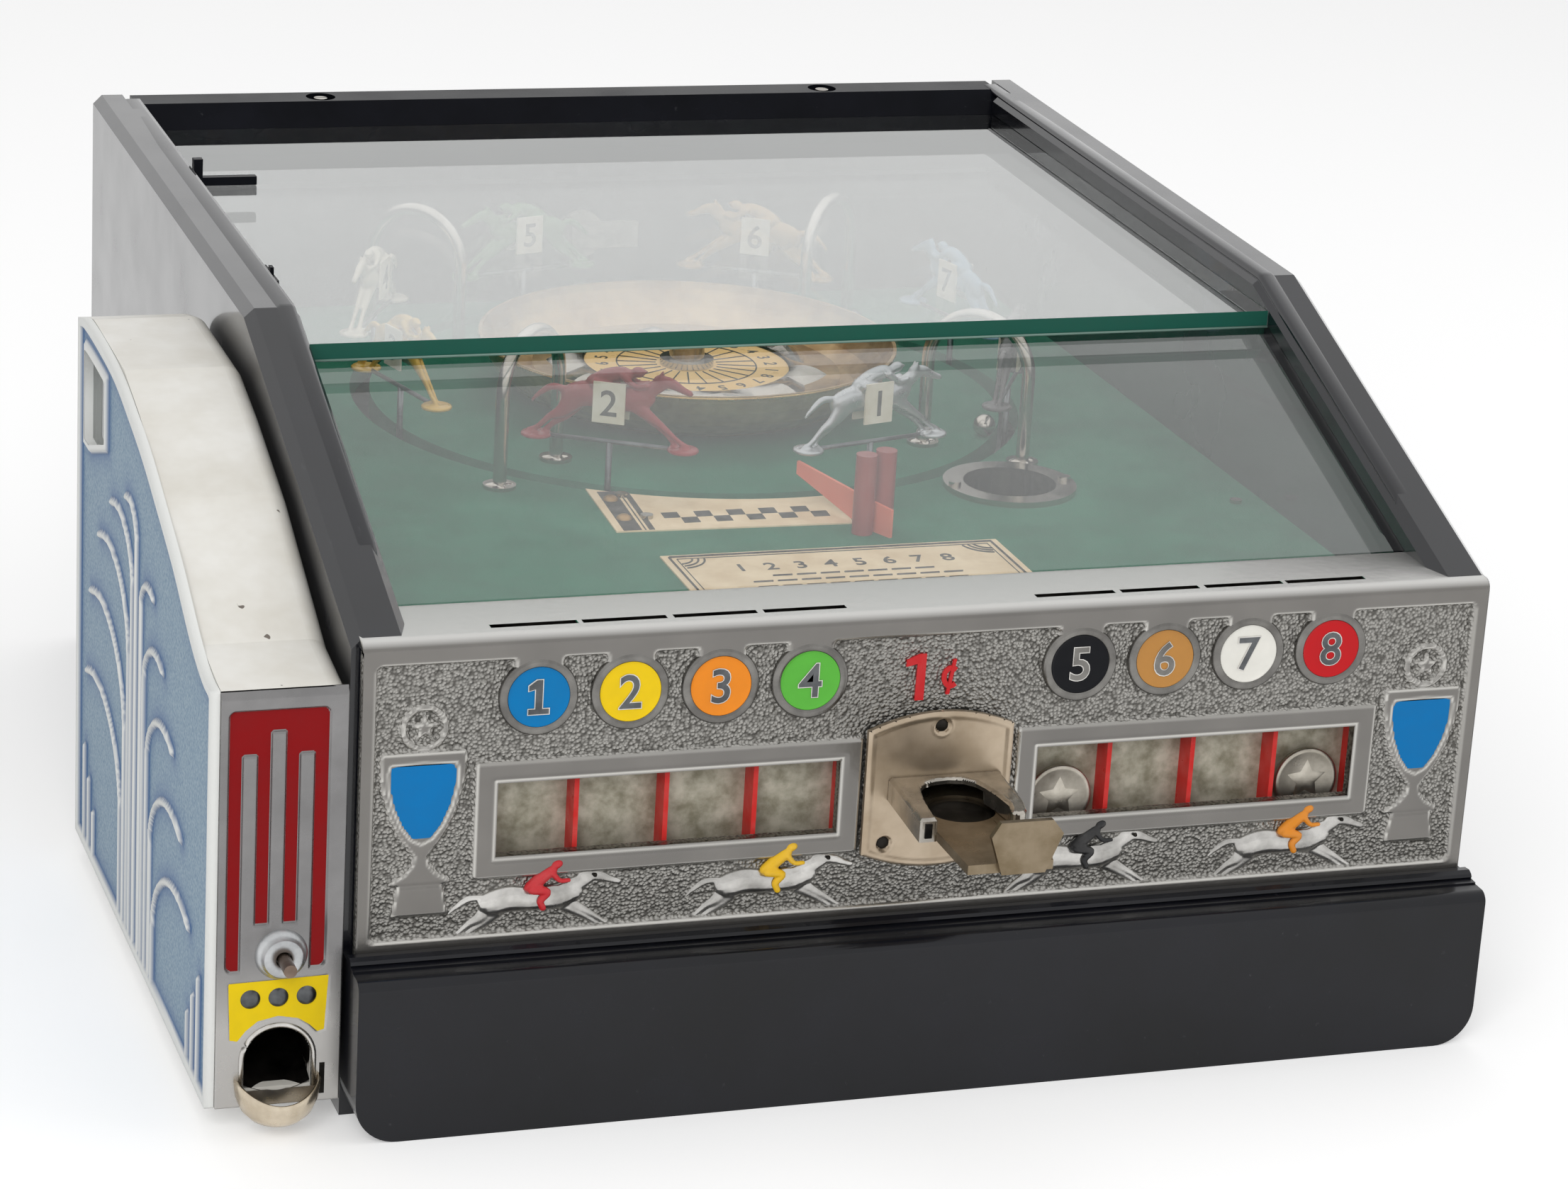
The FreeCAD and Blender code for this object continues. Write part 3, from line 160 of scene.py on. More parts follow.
def green_felt():
    """Green baize: short wool nap that is matt and slightly paler where it is brushed."""
    made, tree, shader, place = finish("green_felt", "#33775e", roughness=0.95, Specular_IOR_Level=0.1)
    mixed = mottle(tree, shader, place, "#2b6a52", "#387c62", 24)
    fibre = add(tree, "TexNoise", Vector=place, Scale=per_mm(0.8), Detail=2.0)
    nap = add(tree, "MixRGB", blend_type="MULTIPLY", Fac=0.25, Color1=mixed, Color2=fibre.outputs["Fac"])
    feed(nap, shader, "Base Color")
    bump = add(tree, "Bump", Height=fibre.outputs["Fac"], Distance=0.15 * MM)
    feed(bump, shader, "Normal")
    return made


def paint(name, code, roughness=0.4, fade=0.05, grit=1.5, depth=0.02, metallic=0.0, coat=0.0):
    """Brushed oil paint on metal: a flat colour that fades by a share and shows the brush a little."""
    made, tree, shader, place = finish(name, code, metallic=metallic, roughness=roughness, Coat_Weight=coat,
                                       Coat_Roughness=0.1, Specular_IOR_Level=0.25)
    faded = add(tree, "TexNoise", Vector=place, Scale=per_mm(6), Detail=4.0)
    share = add(tree, "MapRange", Value=faded.outputs["Fac"], From_Min=0.35, From_Max=0.7, To_Max=fade)
    mixed = add(tree, "MixRGB", Fac=share, Color1=code, Color2="#d8d4cc")
    feed(mixed, shader, "Base Color")
    gloss(tree, shader, place, roughness - 0.08, roughness + 0.12, 5)
    grain(tree, shader, place, grit, depth)
    return made


def pane(name, tint, mirror, dust):
    """Float glass under thin dust: each face mirrors more the flatter it is seen, as a power of the lean."""
    made, tree, shader, place = finish(name, tint, metallic=1.0, roughness=0.02)
    lean = add(tree, "LayerWeight", Blend=0.5)
    flat = add(tree, "Math", operation="POWER")
    tree.links.new(lean.outputs["Facing"], flat.inputs[0])
    flat.inputs[1].default_value = 2.45
    film = add(tree, "TexNoise", Vector=place, Scale=per_mm(60), Detail=4.0, Roughness=0.55)
    layer = add(tree, "MapRange", Value=film.outputs["Fac"], From_Min=0.3, From_Max=0.7,
                To_Min=dust * 0.6, To_Max=dust * 1.4)
    amount = add(tree, "Math", operation="MULTIPLY_ADD")
    feed(flat, amount, 0)
    amount.inputs[1].default_value = mirror
    feed(layer, amount, 2)
    feed(amount, shader, "Alpha")
    return made


def printed_card(name, dark, light):
    """Aged printed card: an even tone with faint foxing."""
    made, tree, shader, place = finish(name, light, roughness=0.7)
    mottle(tree, shader, place, dark, light, 12)
    return made


def plate_metal():
    """One casting with three skins: grey satin on the raised parts, a stipple in the sunk ground with
    painted glints and shade, and edges painted bright as a highlight; the ledge on top is paler than the
    face."""
    made, tree, shader, place = finish("cast_plate", "#8a857d", metallic=0.9, roughness=0.36)
    spot = add(tree, "SeparateXYZ", Vector=place)
    sunk = add(tree, "MapRange", Value=spot.outputs["Y"], From_Min=-0.2070, From_Max=-0.2063)
    under = add(tree, "MapRange", Value=spot.outputs["Z"], From_Min=0.1486, From_Max=0.1484)
    ground = add(tree, "Math", operation="MULTIPLY")
    feed(sunk, ground, 0)
    feed(under, ground, 1)
    # Painted light in the stipple: pale on each bump's top as a painted glint, dark in the pits between as
    # painted shade.
    cells = add(tree, "TexVoronoi", Vector=place, Scale=per_mm(1.05), Randomness=0.9)
    depth = add(tree, "MapRange", Value=cells.outputs["Distance"], From_Min=0.85, From_Max=0.3)
    stain = add(tree, "TexNoise", Vector=place, Scale=per_mm(26), Detail=4.0)
    stipple_glint_and_shade = add(tree, "MixRGB", Fac=depth, Color1="#5d5b57", Color2="#a8a6a1")
    satin = add(tree, "MixRGB", Fac=stain.outputs["Fac"], Color1="#6d6b68", Color2="#85827e")
    both = add(tree, "MixRGB", Fac=ground, Color1=satin, Color2=stipple_glint_and_shade)
    top = add(tree, "MapRange", Value=spot.outputs["Z"], From_Min=0.1500, From_Max=0.1518)
    pale = add(tree, "MixRGB", Fac=top, Color1=both, Color2="#cccbc8")
    # Painted highlight: a per-vertex share brightens the colour along the edges, where light would catch
    # them.
    edge = add(tree, "Attribute", attribute_name="rubbed")
    bright = add(tree, "MixRGB", Fac=edge.outputs["Fac"], Color1=pale, Color2="#dddbd5")
    feed(bright, shader, "Base Color")
    rough = add(tree, "MapRange", Value=ground, To_Min=0.26, To_Max=0.38)
    feed(rough, shader, "Roughness")
    fine = add(tree, "TexNoise", Vector=place, Scale=per_mm(3.0), Detail=2.0)
    height = add(tree, "MixRGB", Fac=ground, Color1=(0.5, 0.5, 0.5, 1), Color2=depth)
    coarse = add(tree, "Bump", Height=height, Distance=0.4 * MM)
    skin = add(tree, "Bump", Height=fine.outputs["Fac"], Distance=0.04 * MM, Normal=coarse)
    feed(skin, shader, "Normal")
    return made


def vendor_metal():
    """The vendor's buffed face: mid grey, and paler below the red field as a painted reflection."""
    made, tree, shader, place = finish("vendor_face", "#868585", metallic=0.95, roughness=0.3)
    mixed = mottle(tree, shader, place, "#7c7b7b", "#8b8a8a", 30)
    spot = add(tree, "SeparateXYZ", Vector=place)
    # Painted reflection: the face's colour grows paler towards its foot.
    low = add(tree, "MapRange", Value=spot.outputs["Z"], From_Min=0.056, From_Max=0.034)
    pale = add(tree, "MixRGB", Fac=low, Color1=mixed, Color2="#b4b2af")
    feed(pale, shader, "Base Color")
    gloss(tree, shader, place, 0.24, 0.34, 6)
    return made


def glassy_enamel(name, code):
    """Baked enamel: one deep colour with a tight gloss, a little darker where it thins."""
    made, tree, shader, place = finish(name, code, roughness=0.12, Specular_IOR_Level=0.1)
    cloud = add(tree, "TexNoise", Vector=place, Scale=per_mm(5), Detail=2.0)
    share = add(tree, "MapRange", Value=cloud.outputs["Fac"], From_Min=0.3, From_Max=0.7, To_Max=0.06)
    mixed = add(tree, "MixRGB", Fac=share, Color1=code, Color2="#3a3a3a")
    feed(mixed, shader, "Base Color")
    return made


def polished_casting(name, light, dark, roughness=0.3):
    """Cast metal buffed on a wheel: even satin with soft grey clouds."""
    shine = (roughness - 0.06, roughness + 0.1, 6)
    return metal(name, light, 0.95, roughness, (dark, light, 11), shine, (0.9, 0.02))


def side_panel_paint():
    """White lines over dusty steel blue that was sprayed darker beside every raised line."""
    made, tree, shader, place = finish("side_panel_paint", "#7f9db3", roughness=0.45, Specular_IOR_Level=0.3)
    near = add(tree, "Attribute", attribute_name="near_line")
    raised = add(tree, "Attribute", attribute_name="line")
    speck = add(tree, "TexNoise", Vector=place, Scale=per_mm(1.0), Detail=2.0)
    clear = add(tree, "MapRange", Value=speck.outputs["Fac"], From_Min=0.3, From_Max=0.7)
    dusty = add(tree, "MixRGB", Fac=clear, Color1="#567a97", Color2="#8fa6b4")
    sprayed = add(tree, "MixRGB", Fac=near.outputs["Fac"], Color1=dusty, Color2="#0f4f88")
    both = add(tree, "MixRGB", Fac=raised.outputs["Fac"], Color1=sprayed, Color2="#e4e5e2")
    feed(both, shader, "Base Color")
    bump = add(tree, "Bump", Height=speck.outputs["Fac"], Distance=0.08 * MM)
    feed(bump, shader, "Normal")
    return made


def old_white_enamel():
    """Cream-white enamel on the vendor's case: faint grey clouds, rust specks the size of a pinhead."""
    made, tree, shader, place = finish("old_white_enamel", "#e3e0d8", roughness=0.38)
    mixed = mottle(tree, shader, place, "#d9d5cb", "#e9e7e1", 35)
    speck = add(tree, "TexNoise", Vector=place, Scale=per_mm(7), Detail=2.0, Roughness=0.8)
    rust = add(tree, "MapRange", Value=speck.outputs["Fac"], From_Min=0.735, From_Max=0.76)
    worn = add(tree, "MixRGB", Fac=rust, Color1=mixed, Color2="#6b6259")
    feed(worn, shader, "Base Color")
    grain(tree, shader, place, 2.5, 0.02)
    return made


BLACK = black_paint("black_lacquer", 0.7, 0.4, 0.25)
CLEAN_BLACK = black_paint("clean_black_lacquer", 0.2, 0.0, 0.25)
DULL_BLACK = black_paint("dull_black_lacquer", 0.0, 0.0, 0.05)
WOOD = bare_wood()
CAST = metal("cast_aluminium", "#b4b6b8", 0.9, 0.42, ("#9c9ea1", "#c9cbcc", 16), (0.34, 0.52, 9),
             (0.8, 0.06))
NICKEL = metal("bright_nickel", "#bdb8af", 1.0, 0.16, ("#b1aba1", "#c6c1b9", 11), (0.12, 0.24, 8))
CHAMPAGNE = metal("champagne_nickel", "#b5a48e", 0.85, 0.36, ("#ab9a84", "#beae99", 16), (0.3, 0.42, 7),
                  (0.7, 0.01))
BRASS = metal("warm_brass", "#b08d5e", 0.75, 0.38, ("#97754a", "#c4a678", 14), (0.28, 0.5, 8))
STEEL = metal("grey_steel", "#8c887b", 0.4, 0.55, ("#767265", "#a5a194", 6, 6.0), (0.42, 0.7, 4))
CHANNEL = metal("channel_steel", "#a8a493", 0.3, 0.6, ("#8a8672", "#c4c0af", 7, 6.0), (0.45, 0.7, 4))
DRIVE = metal("drive_steel", "#6d7073", 0.95, 0.35, ("#565a5d", "#83878a", 12), grit=(0.9, 0.02))
FELT = green_felt()
CARD = printed_card("white_card", "#cfc6b0", "#e6e0d1")
CREAM = printed_card("cream_card", "#dcc49f", "#efdbb9")
RED = paint("red_enamel", "#c8201c", roughness=0.35)
PRICE_RED = paint("price_red", "#c81e24", roughness=0.35, fade=0.03)
DOWEL_RED = paint("dowel_red", "#93403f", roughness=0.35, coat=0.4)
SIGNAL = paint("orange_red", "#e27a64", roughness=0.4, coat=0.3)
BLUE = paint("blue_enamel", "#1d3f73", roughness=0.38)
PEACH = paint("peach_paint", "#f7d08c", roughness=0.35, fade=0.04, coat=0.2)
PLATE = plate_metal()
POLISHED = polished_casting("polished_casting", "#c9cbcc", "#9fa1a3")
DARK_METAL = polished_casting("dark_metal", "#6c6e70", "#4a4c4e", 0.32)
# Near-black metal: the dark eyes, chute and coin bed, and painted shade in the coin slots, the prong's slot,
# the seat's screw holes and the vendor's notch.
DARK_METAL_AND_SHADE = polished_casting("dark_metal_and_painted_shade", "#3a3733", "#141312", 0.45)
BRIGHT_CAST = polished_casting("bright_casting", "#dcdad6", "#bdbab5", 0.24)
SHELF_METAL = polished_casting("shelf_metal", "#c4beb4", "#9a958d", 0.2)
SLIDE_METAL = polished_casting("slide_nickel", "#8f816c", "#786a54", 0.3)
RING_METAL = polished_casting("ring_metal", "#85837f", "#696764", 0.24)
SHAFT_METAL = polished_casting("shaft_metal", "#8b7a6e", "#6b5b50", 0.3)
RIDER_METAL = polished_casting("rider_metal", "#cfcdc9", "#a09e9a", 0.22)
COIN = polished_casting("coin_nickel", "#c6c0b4", "#9d978b", 0.32)
SCOOP = polished_casting("scoop_nickel", "#d6cab6", "#b9ab95", 0.24)
GOLD = polished_casting("bead_brass", "#d9b878", "#b08d52", 0.25)
VENDOR_FACE = vendor_metal()
RED_GLOSS = glassy_enamel("red_gloss", "#8a0c10")
YELLOW_GLOSS = glassy_enamel("yellow_gloss", "#f0cf14")
BLUE_INLAY = glassy_enamel("blue_inlay", "#0b76b8")
INK = paint("printing_ink", "#23211f", roughness=0.6, fade=0.15)
SIDE_PAINT = side_panel_paint()
OLD_WHITE = old_white_enamel()
GLASS_EDGE = glassy_enamel("glass_edge", "#20594c")
THIN_EDGE = glassy_enamel("thin_glass_edge", "#7d988e")
GLASS = pane("float_glass", "#fafcfb", 0.774, 0.015)
REAR_GLASS = pane("rear_float_glass", "#fafcfb", 0.87, 0.015)
VENDOR_GLASS = pane("vendor_glass", "#a9aeae", 0.8, 0.12)

HORSE_PAINT = {
    1: ("#b8bbbd", 0.8), 2: ("#8c1319", 0.0), 3: ("#d0a83a", 0.1), 4: ("#cfc7b2", 0.1),
    5: ("#4f7c4a", 0.1), 6: ("#b08b4a", 0.3), 7: ("#7f9fb5", 0.1), 8: ("#3c3a3a", 0.1),
}
HORSES = {number: paint("horse_%d" % number, code, 0.3, metallic=share, coat=0.6)
          for number, (code, share) in HORSE_PAINT.items()}

FINISHES = {
    BLACK: "left_side_board right_side_board",
    CLEAN_BLACK: "base_board foot_moulding",
    DULL_BLACK: "back_rail back_door glass_clip",
    WOOD: "bottom_board",
    CAST: "front_plate",
    OLD_WHITE: "vendor_case",
    STEEL: "coin_drop_flap cash_box door_lock",
    CHANNEL: "window_back",
    NICKEL: "coins ring_ferrule steel_ball hurdle_front_left hurdle_front_right hurdle_back_left "
            "hurdle_back_right rotor_spindle playfield_screws back_rail_screws",
    CHAMPAGNE: "coin_slide_plate vendor_cup",
    SLIDE_METAL: "coin_slide",
    DARK_METAL: "slide_screws",
    SHAFT_METAL: "vendor_shaft",
    BRASS: "bowl pocket_ring",
    FELT: "playfield_board track_disc",
    CARD: "number_tags",
    CREAM: "finish_strip rules_card",
    PEACH: "dial_disc",
    RED: "coin_dividers",
    DOWEL_RED: "finish_dowels",
    SIGNAL: "finish_arm",
    BLUE: "vendor_side_panel",
    GLASS: "front_glass",
    REAR_GLASS: "rear_glass",
    VENDOR_GLASS: "vendor_window",
    DRIVE: "drive_frame carousel lay_shaft kick_lever lever_post vendor_bolts door_pins",
}
for made, names in FINISHES.items():
    for name in names.split():
        for slot in NODES[name].material_slots:
            slot.material = made
for number, made in HORSES.items():
    for slot in NODES["horse_%d" % number].material_slots:
        slot.material = made


# Meshes from grids of points, in millimetres
def grid(points, around=False):
    """Points and quads of a grid (rows, columns, 3); around joins the last column to the first."""
    rows, columns = points.shape[:2]
    index = np.arange(rows * columns).reshape(rows, columns)
    if around:
        index = np.hstack([index, index[:, :1]])
    quads = np.stack([index[:-1, :-1], index[:-1, 1:], index[1:, 1:], index[1:, :-1]], axis=-1)
    return points.reshape(-1, 3), quads.reshape(-1, 4)


def piece(name, shells, made, body="cabinet", stands_for=(), smooth=True):
    """One object from shells of points and faces: seams merged, faces outwards, riding on a body."""
    faces, start = [], 0
    for corners, loops in shells:
        loops = loops if isinstance(loops, list) else loops.tolist()
        faces += [[corner + start for corner in face] for face in loops]
        start += len(corners)
    points = np.vstack([corners for corners, _ in shells]) * MM
    mesh = bpy.data.meshes.new(name)
    mesh.from_pydata(points.tolist(), [], faces)
    work = bmesh.new()
    work.from_mesh(mesh)
    bmesh.ops.remove_doubles(work, verts=work.verts, dist=2e-6)
    bmesh.ops.recalc_face_normals(work, faces=work.faces)
    work.to_mesh(mesh)
    work.free()
    if smooth:
        mesh.shade_smooth()
    made_object = bpy.data.objects.new(name, mesh)
    scene.collection.objects.link(made_object)
    mesh.materials.append(made)
    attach(made_object, body)
    if stands_for:
        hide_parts(*stands_for)
    return made_object


# Distances to flat outlines, in millimetres: less than zero inside, more than zero outside
def to_disc(x, z, at, radius):
    """Distance to a disc about a point."""
    return np.hypot(x - at[0], z - at[1]) - radius


def to_block(x, z, left, right, low, high, corner=0.0):
    """Distance to an upright block whose corners are rounded by a radius."""
    out_x = np.abs(x - (left + right) / 2) - (right - left) / 2 + corner
    out_z = np.abs(z - (low + high) / 2) - (high - low) / 2 + corner
    outside = np.hypot(np.maximum(out_x, 0), np.maximum(out_z, 0))
    return outside + np.minimum(np.maximum(out_x, out_z), 0) - corner


def to_line(x, z, spots, half=0.0):
    """Distance to a run of straight strokes with a half width."""
    nearest = np.full(x.shape, np.inf)
    for (ax, az), (bx, bz) in zip(spots[:-1], spots[1:]):
        length = (bx - ax) ** 2 + (bz - az) ** 2
        share = np.clip(((x - ax) * (bx - ax) + (z - az) * (bz - az)) / length, 0, 1)
        nearest = np.minimum(nearest, np.hypot(x - ax - share * (bx - ax), z - az - share * (bz - az)))
    return nearest - half


def to_polygon(x, z, corners):
    """Distance to a polygon, negative where a ray to the right crosses an odd number of sides."""
    inside = np.zeros(x.shape, bool)
    for (ax, az), (bx, bz) in zip(corners, corners[1:] + corners[:1]):
        if az != bz:
            crossing = ax + (z - az) * (bx - ax) / (bz - az)
            inside ^= ((az > z) != (bz > z)) & (x < crossing)
    return to_line(x, z, corners + corners[:1]) * np.where(inside, -1, 1)


def melt(first, second, reach):
    """The nearer of two distances, rounded where they meet by a reach in millimetres."""
    share = np.clip(0.5 + (second - first) / (2 * reach), 0, 1)
    return second + (first - second) * share - reach * share * (1 - share)


def bevel(distance, width):
    """1 inside an outline and 0 outside, with a soft slope of a width across the outline."""
    share = np.clip(0.5 - distance / width, 0, 1)
    return share * share * (3 - 2 * share)


def lines_through(low, high, step, *marks):
    """Evenly spaced grid lines from low to high that also pass through the marks."""
    even = np.linspace(low, high, int(round((high - low) / step)) + 1)
    kept = [line for line in even if all(abs(line - mark) > step * 0.45 for mark in marks)]
    return np.unique(np.array(kept + [low, high] + list(marks)))


def snap(u, v, hole, step):
    """Move grid spots that lie within half a step of a hole's outline onto it."""
    small = 0.05
    distance = hole(u, v)
    slope_u = (hole(u + small, v) - hole(u - small, v)) / (2 * small)
    slope_v = (hole(u, v + small) - hole(u, v - small)) / (2 * small)
    near = np.abs(distance) < step * 0.55
    return u - np.where(near, distance * slope_u, 0), v - np.where(near, distance * slope_v, 0)


def outside_of(quads, inside):
    """The quads whose four corners aren't all inside or on the edge of a hole."""
    return quads[~inside.reshape(-1)[quads].all(axis=1)]


def turned(profile, at, axis="z", sides=48):
    """A surface of revolution: each (radius, height) of the profile goes round an axis through a point."""
    radius, height = np.array(profile, float).T
    angle = np.linspace(0, 2 * np.pi, sides, endpoint=False)
    across = radius[:, None] * np.cos(angle)
    up = radius[:, None] * np.sin(angle)
    along = np.broadcast_to(height[:, None], across.shape)
    order = (across, up, along) if axis == "z" else (across, along, up)
    return grid(np.stack(order, axis=-1) + np.array(at, float), around=True)


def curve_through(stations, steps):
    """A smooth Catmull-Rom line through rows of numbers, cut into a count of steps between neighbours."""
    rows = np.array(stations, float)
    padded = np.vstack([2 * rows[0] - rows[1], rows, 2 * rows[-1] - rows[-2]])
    spot = np.linspace(0, len(rows) - 1, (len(rows) - 1) * steps + 1)
    start = np.minimum(spot.astype(int), len(rows) - 2)
    t = (spot - start)[:, None]
    a, b, c, d = (padded[start + k] for k in range(4))
    bend = 2 * a - 5 * b + 4 * c - d
    twist = 3 * b - a - 3 * c + d
    return 0.5 * (2 * b + (c - a) * t + bend * t ** 2 + twist * t ** 3)


def limb(stations, side=0.0, sides=12, steps=5):
    """A closed tube in the x-z plane through (x, z, half height, half width): an oval with domed ends."""
    line = curve_through(stations, steps)
    ahead = np.gradient(line[:, :2], axis=0)
    ahead /= np.linalg.norm(ahead, axis=1)[:, None]
    shares = np.radians([90, 60, 30])
    first = np.hstack([line[0, :2] - ahead[0] * line[0, 2] * np.sin(shares)[:, None],
                       line[0, 2:4] * np.cos(shares)[:, None]])
    last = np.hstack([line[-1, :2] + ahead[-1] * line[-1, 2] * np.sin(shares[::-1])[:, None],
                      line[-1, 2:4] * np.cos(shares[::-1])[:, None]])
    path = np.vstack([first, line[:, :4], last])
    ahead = np.vstack([np.repeat(ahead[:1], 3, axis=0), ahead, np.repeat(ahead[-1:], 3, axis=0)])
    angle = np.linspace(0, 2 * np.pi, sides, endpoint=False)
    lift = path[:, 2:3] * np.cos(angle)
    x = path[:, 0:1] - ahead[:, 1:2] * lift
    z = path[:, 1:2] + ahead[:, 0:1] * lift
    y = side + path[:, 3:4] * np.sin(angle)
    return grid(np.stack([x, y, z], axis=-1), around=True)


def wire(spots, radius, sides=8):
    """A round rod carried along straight runs between points in space, its ring square to the run."""
    spots = np.array(spots, float)
    ahead = np.gradient(spots, axis=0)
    ahead /= np.linalg.norm(ahead, axis=1)[:, None]
    helper = np.where(np.abs(ahead[:, 2:3]) > 0.9, [[1.0, 0, 0]], [[0, 0, 1.0]])
    across = np.cross(ahead, helper)
    across /= np.linalg.norm(across, axis=1)[:, None]
    up = np.cross(across, ahead)
    angle = np.linspace(0, 2 * np.pi, sides, endpoint=False)[:, None]
    rings = spots[:, None] + radius * (across[:, None] * np.cos(angle) + up[:, None] * np.sin(angle))
    first, last = (np.broadcast_to(spots[k, None, None], rings[:1].shape) for k in (0, -1))
    return grid(np.concatenate([first, rings, last]), around=True)


def placed(shell, at, turn=0.0, scale=(1, 1, 1)):
    """A shell scaled, turned about the upright axis by degrees and moved to a point."""
    points, faces = shell
    cosine, sine = math.cos(math.radians(turn)), math.sin(math.radians(turn))
    turned_by = np.array([[cosine, sine, 0], [-sine, cosine, 0], [0, 0, 1]])
    return points * np.array(scale, float) @ turned_by + np.array(at, float), faces


def numeral(text, size, depth, bold=0.0):
    """A raised numeral in the x-z plane, in millimetres, centred, its face towards -y."""
    curve = bpy.data.curves.new("numeral", "FONT")
    curve.body = text
    curve.size = size
    curve.extrude = depth / 2
    curve.offset = bold
    curve.resolution_u = 4
    curve.align_x = "CENTER"
    curve.align_y = "CENTER"
    holder = bpy.data.objects.new("numeral", curve)
    mesh = bpy.data.meshes.new_from_object(holder)
    flat = np.empty(len(mesh.vertices) * 3)
    mesh.vertices.foreach_get("co", flat)
    flat = flat.reshape(-1, 3)
    centre = (flat.max(axis=0) + flat.min(axis=0)) / 2
    points = np.stack([flat[:, 0] - centre[0], -flat[:, 2], flat[:, 1] - centre[1]], axis=-1)
    faces = [list(face.vertices) for face in mesh.polygons]
    bpy.data.objects.remove(holder)
    return points, faces


# The cast front plate: a sunk panel with rings, window frames and cups, and the slotted ledge on top
FACE_Y = -207.5
PLATE_HALF, PLATE_LOW, PLATE_TOP = 180.4, 53.0, 152.0
GROUND_DEEP = 1.5
THROAT = (-12.9, 15.9, 90.2, 98.6)
EDGE_ROUND = 3.0
LEDGE_RUN = 27
SLOT_HALF, SLOT_FRONT, SLOT_BACK = 13, 7.3, 10.3
SLOT_MARKS = (4.4, 7.2)
DISC_X = sorted(side * (43.5 + 28 * i) for side in (-1, 1) for i in range(4))
DISC_Z = 132.3
WINDOWS = [(-138.7, -32.0), (32.0, 138.7)]
WINDOW_LOW, WINDOW_TOP = 82.2, 105.6
FRAME_WIDE = 6.9
CUP_X = 161.5
HOOP_Z = 124.5
CUP_HALF = [(0, 65), (8.6, 65), (8.3, 67), (7.0, 74.5), (9.5, 75.2), (8.6, 76.6), (5.0, 78.5), (2.6, 81.5),
            (2.2, 84), (4.0, 86.5), (7.2, 91), (10.0, 97), (12.0, 104), (13.0, 110), (13.2, 116),
            (12.2, 117), (0, 117)]
INLAY_HALF = [(0, 88.5), (3, 90), (6, 94), (8.6, 100), (10, 106), (10.2, 111), (9.6, 113), (0, 113.4)]


def mirrored(half, at):
    """The corners of an upright shape from its right half, about a middle line at x = at."""
    return [(at + x, z) for x, z in half] + [(at - x, z) for x, z in reversed(half) if x]


def star(at, radius, points=5, inner=0.42):
    """The corners of a star with one point up."""
    corners = []
    for k in range(2 * points):
        angle = math.pi / 2 + math.pi * k / points
        reach = radius * (inner if k % 2 else 1)
        corners.append((at[0] + reach * math.cos(angle), at[1] + reach * math.sin(angle)))
    return corners


def to_window(x, z, left, right, wider, corner=0.0):
    """Distance to a bet window made wider on all sides."""
    return to_block(x, z, left - wider, right + wider, WINDOW_LOW - wider, WINDOW_TOP + wider, corner)


def plate_raised(x, z):
    """Distance to the raised parts: the rim, rings and necks melt together, frames and cups stand alone."""
    raised = -to_block(x, z, -PLATE_HALF + 4.3, PLATE_HALF - 4.3, PLATE_LOW + 4.6, PLATE_TOP - 7.6, 2.0)
    for at in DISC_X:
        ring = to_disc(x, z, (at, DISC_Z), 11.7)
        neck = to_block(x, z, at - 7.4, at + 7.4, DISC_Z, PLATE_TOP + 5)
        raised = melt(raised, melt(ring, neck, 0.8), 1.6)
    for left, right in WINDOWS:
        raised = np.minimum(raised, to_window(x, z, left, right, FRAME_WIDE, 1.0))
    for side in (-1, 1):
        hoop = np.abs(to_disc(x, z, (side * CUP_X, HOOP_Z), 6.4)) - 0.9
        raised = np.minimum(raised, to_polygon(x, z, mirrored(CUP_HALF, side * CUP_X)))
        raised = np.minimum(raised, np.minimum(hoop, to_polygon(x, z, star((side * CUP_X, HOOP_Z), 4.4))))
    return raised


def plate_rise(x, z):
    """Height of the casting over its ground, with the hollows for enamel, windows and the cups' feet."""
    height = GROUND_DEEP * bevel(plate_raised(x, z), 0.8)
    for at in DISC_X:
        height -= 0.9 * bevel(to_disc(x, z, (at, DISC_Z), 9.9), 0.5)
    for left, right in WINDOWS:
        height -= 0.5 * bevel(to_window(x, z, left, right, 1.6, 1.0), 1.6)
    for side in (-1, 1):
        height -= 0.5 * bevel(to_polygon(x, z, mirrored(INLAY_HALF, side * CUP_X)), 0.5)
        height -= 0.9 * bevel(to_line(x, z, [(side * CUP_X - 8, 74.9), (side * CUP_X + 8, 74.9)], 0.2), 0.7)
    return height


def plate_edges(x, z):
    """Distance to the nearest edge that is painted bright as a highlight."""
    edge = np.abs(plate_raised(x, z) + 0.35)
    for left, right in WINDOWS:
        edge = np.minimum(edge, np.abs(to_window(x, z, left, right, 0.8)))
    for side in (-1, 1):
        edge = np.minimum(edge, np.abs(to_polygon(x, z, mirrored(INLAY_HALF, side * CUP_X)) - 0.5))
    return edge


def shade(made_object, name, values):
    """Keep one number from 0 to 1 at each vertex: values gets the vertices' x, y and z in millimetres."""
    spots = np.empty(len(made_object.data.vertices) * 3)
    made_object.data.vertices.foreach_get("co", spots)
    found = values(*(spots.reshape(-1, 3) / MM).T)
    layer = made_object.data.attributes.new(name, "FLOAT", "POINT")
    layer.data.foreach_set("value", np.clip(found, 0, 1).astype(np.float32))


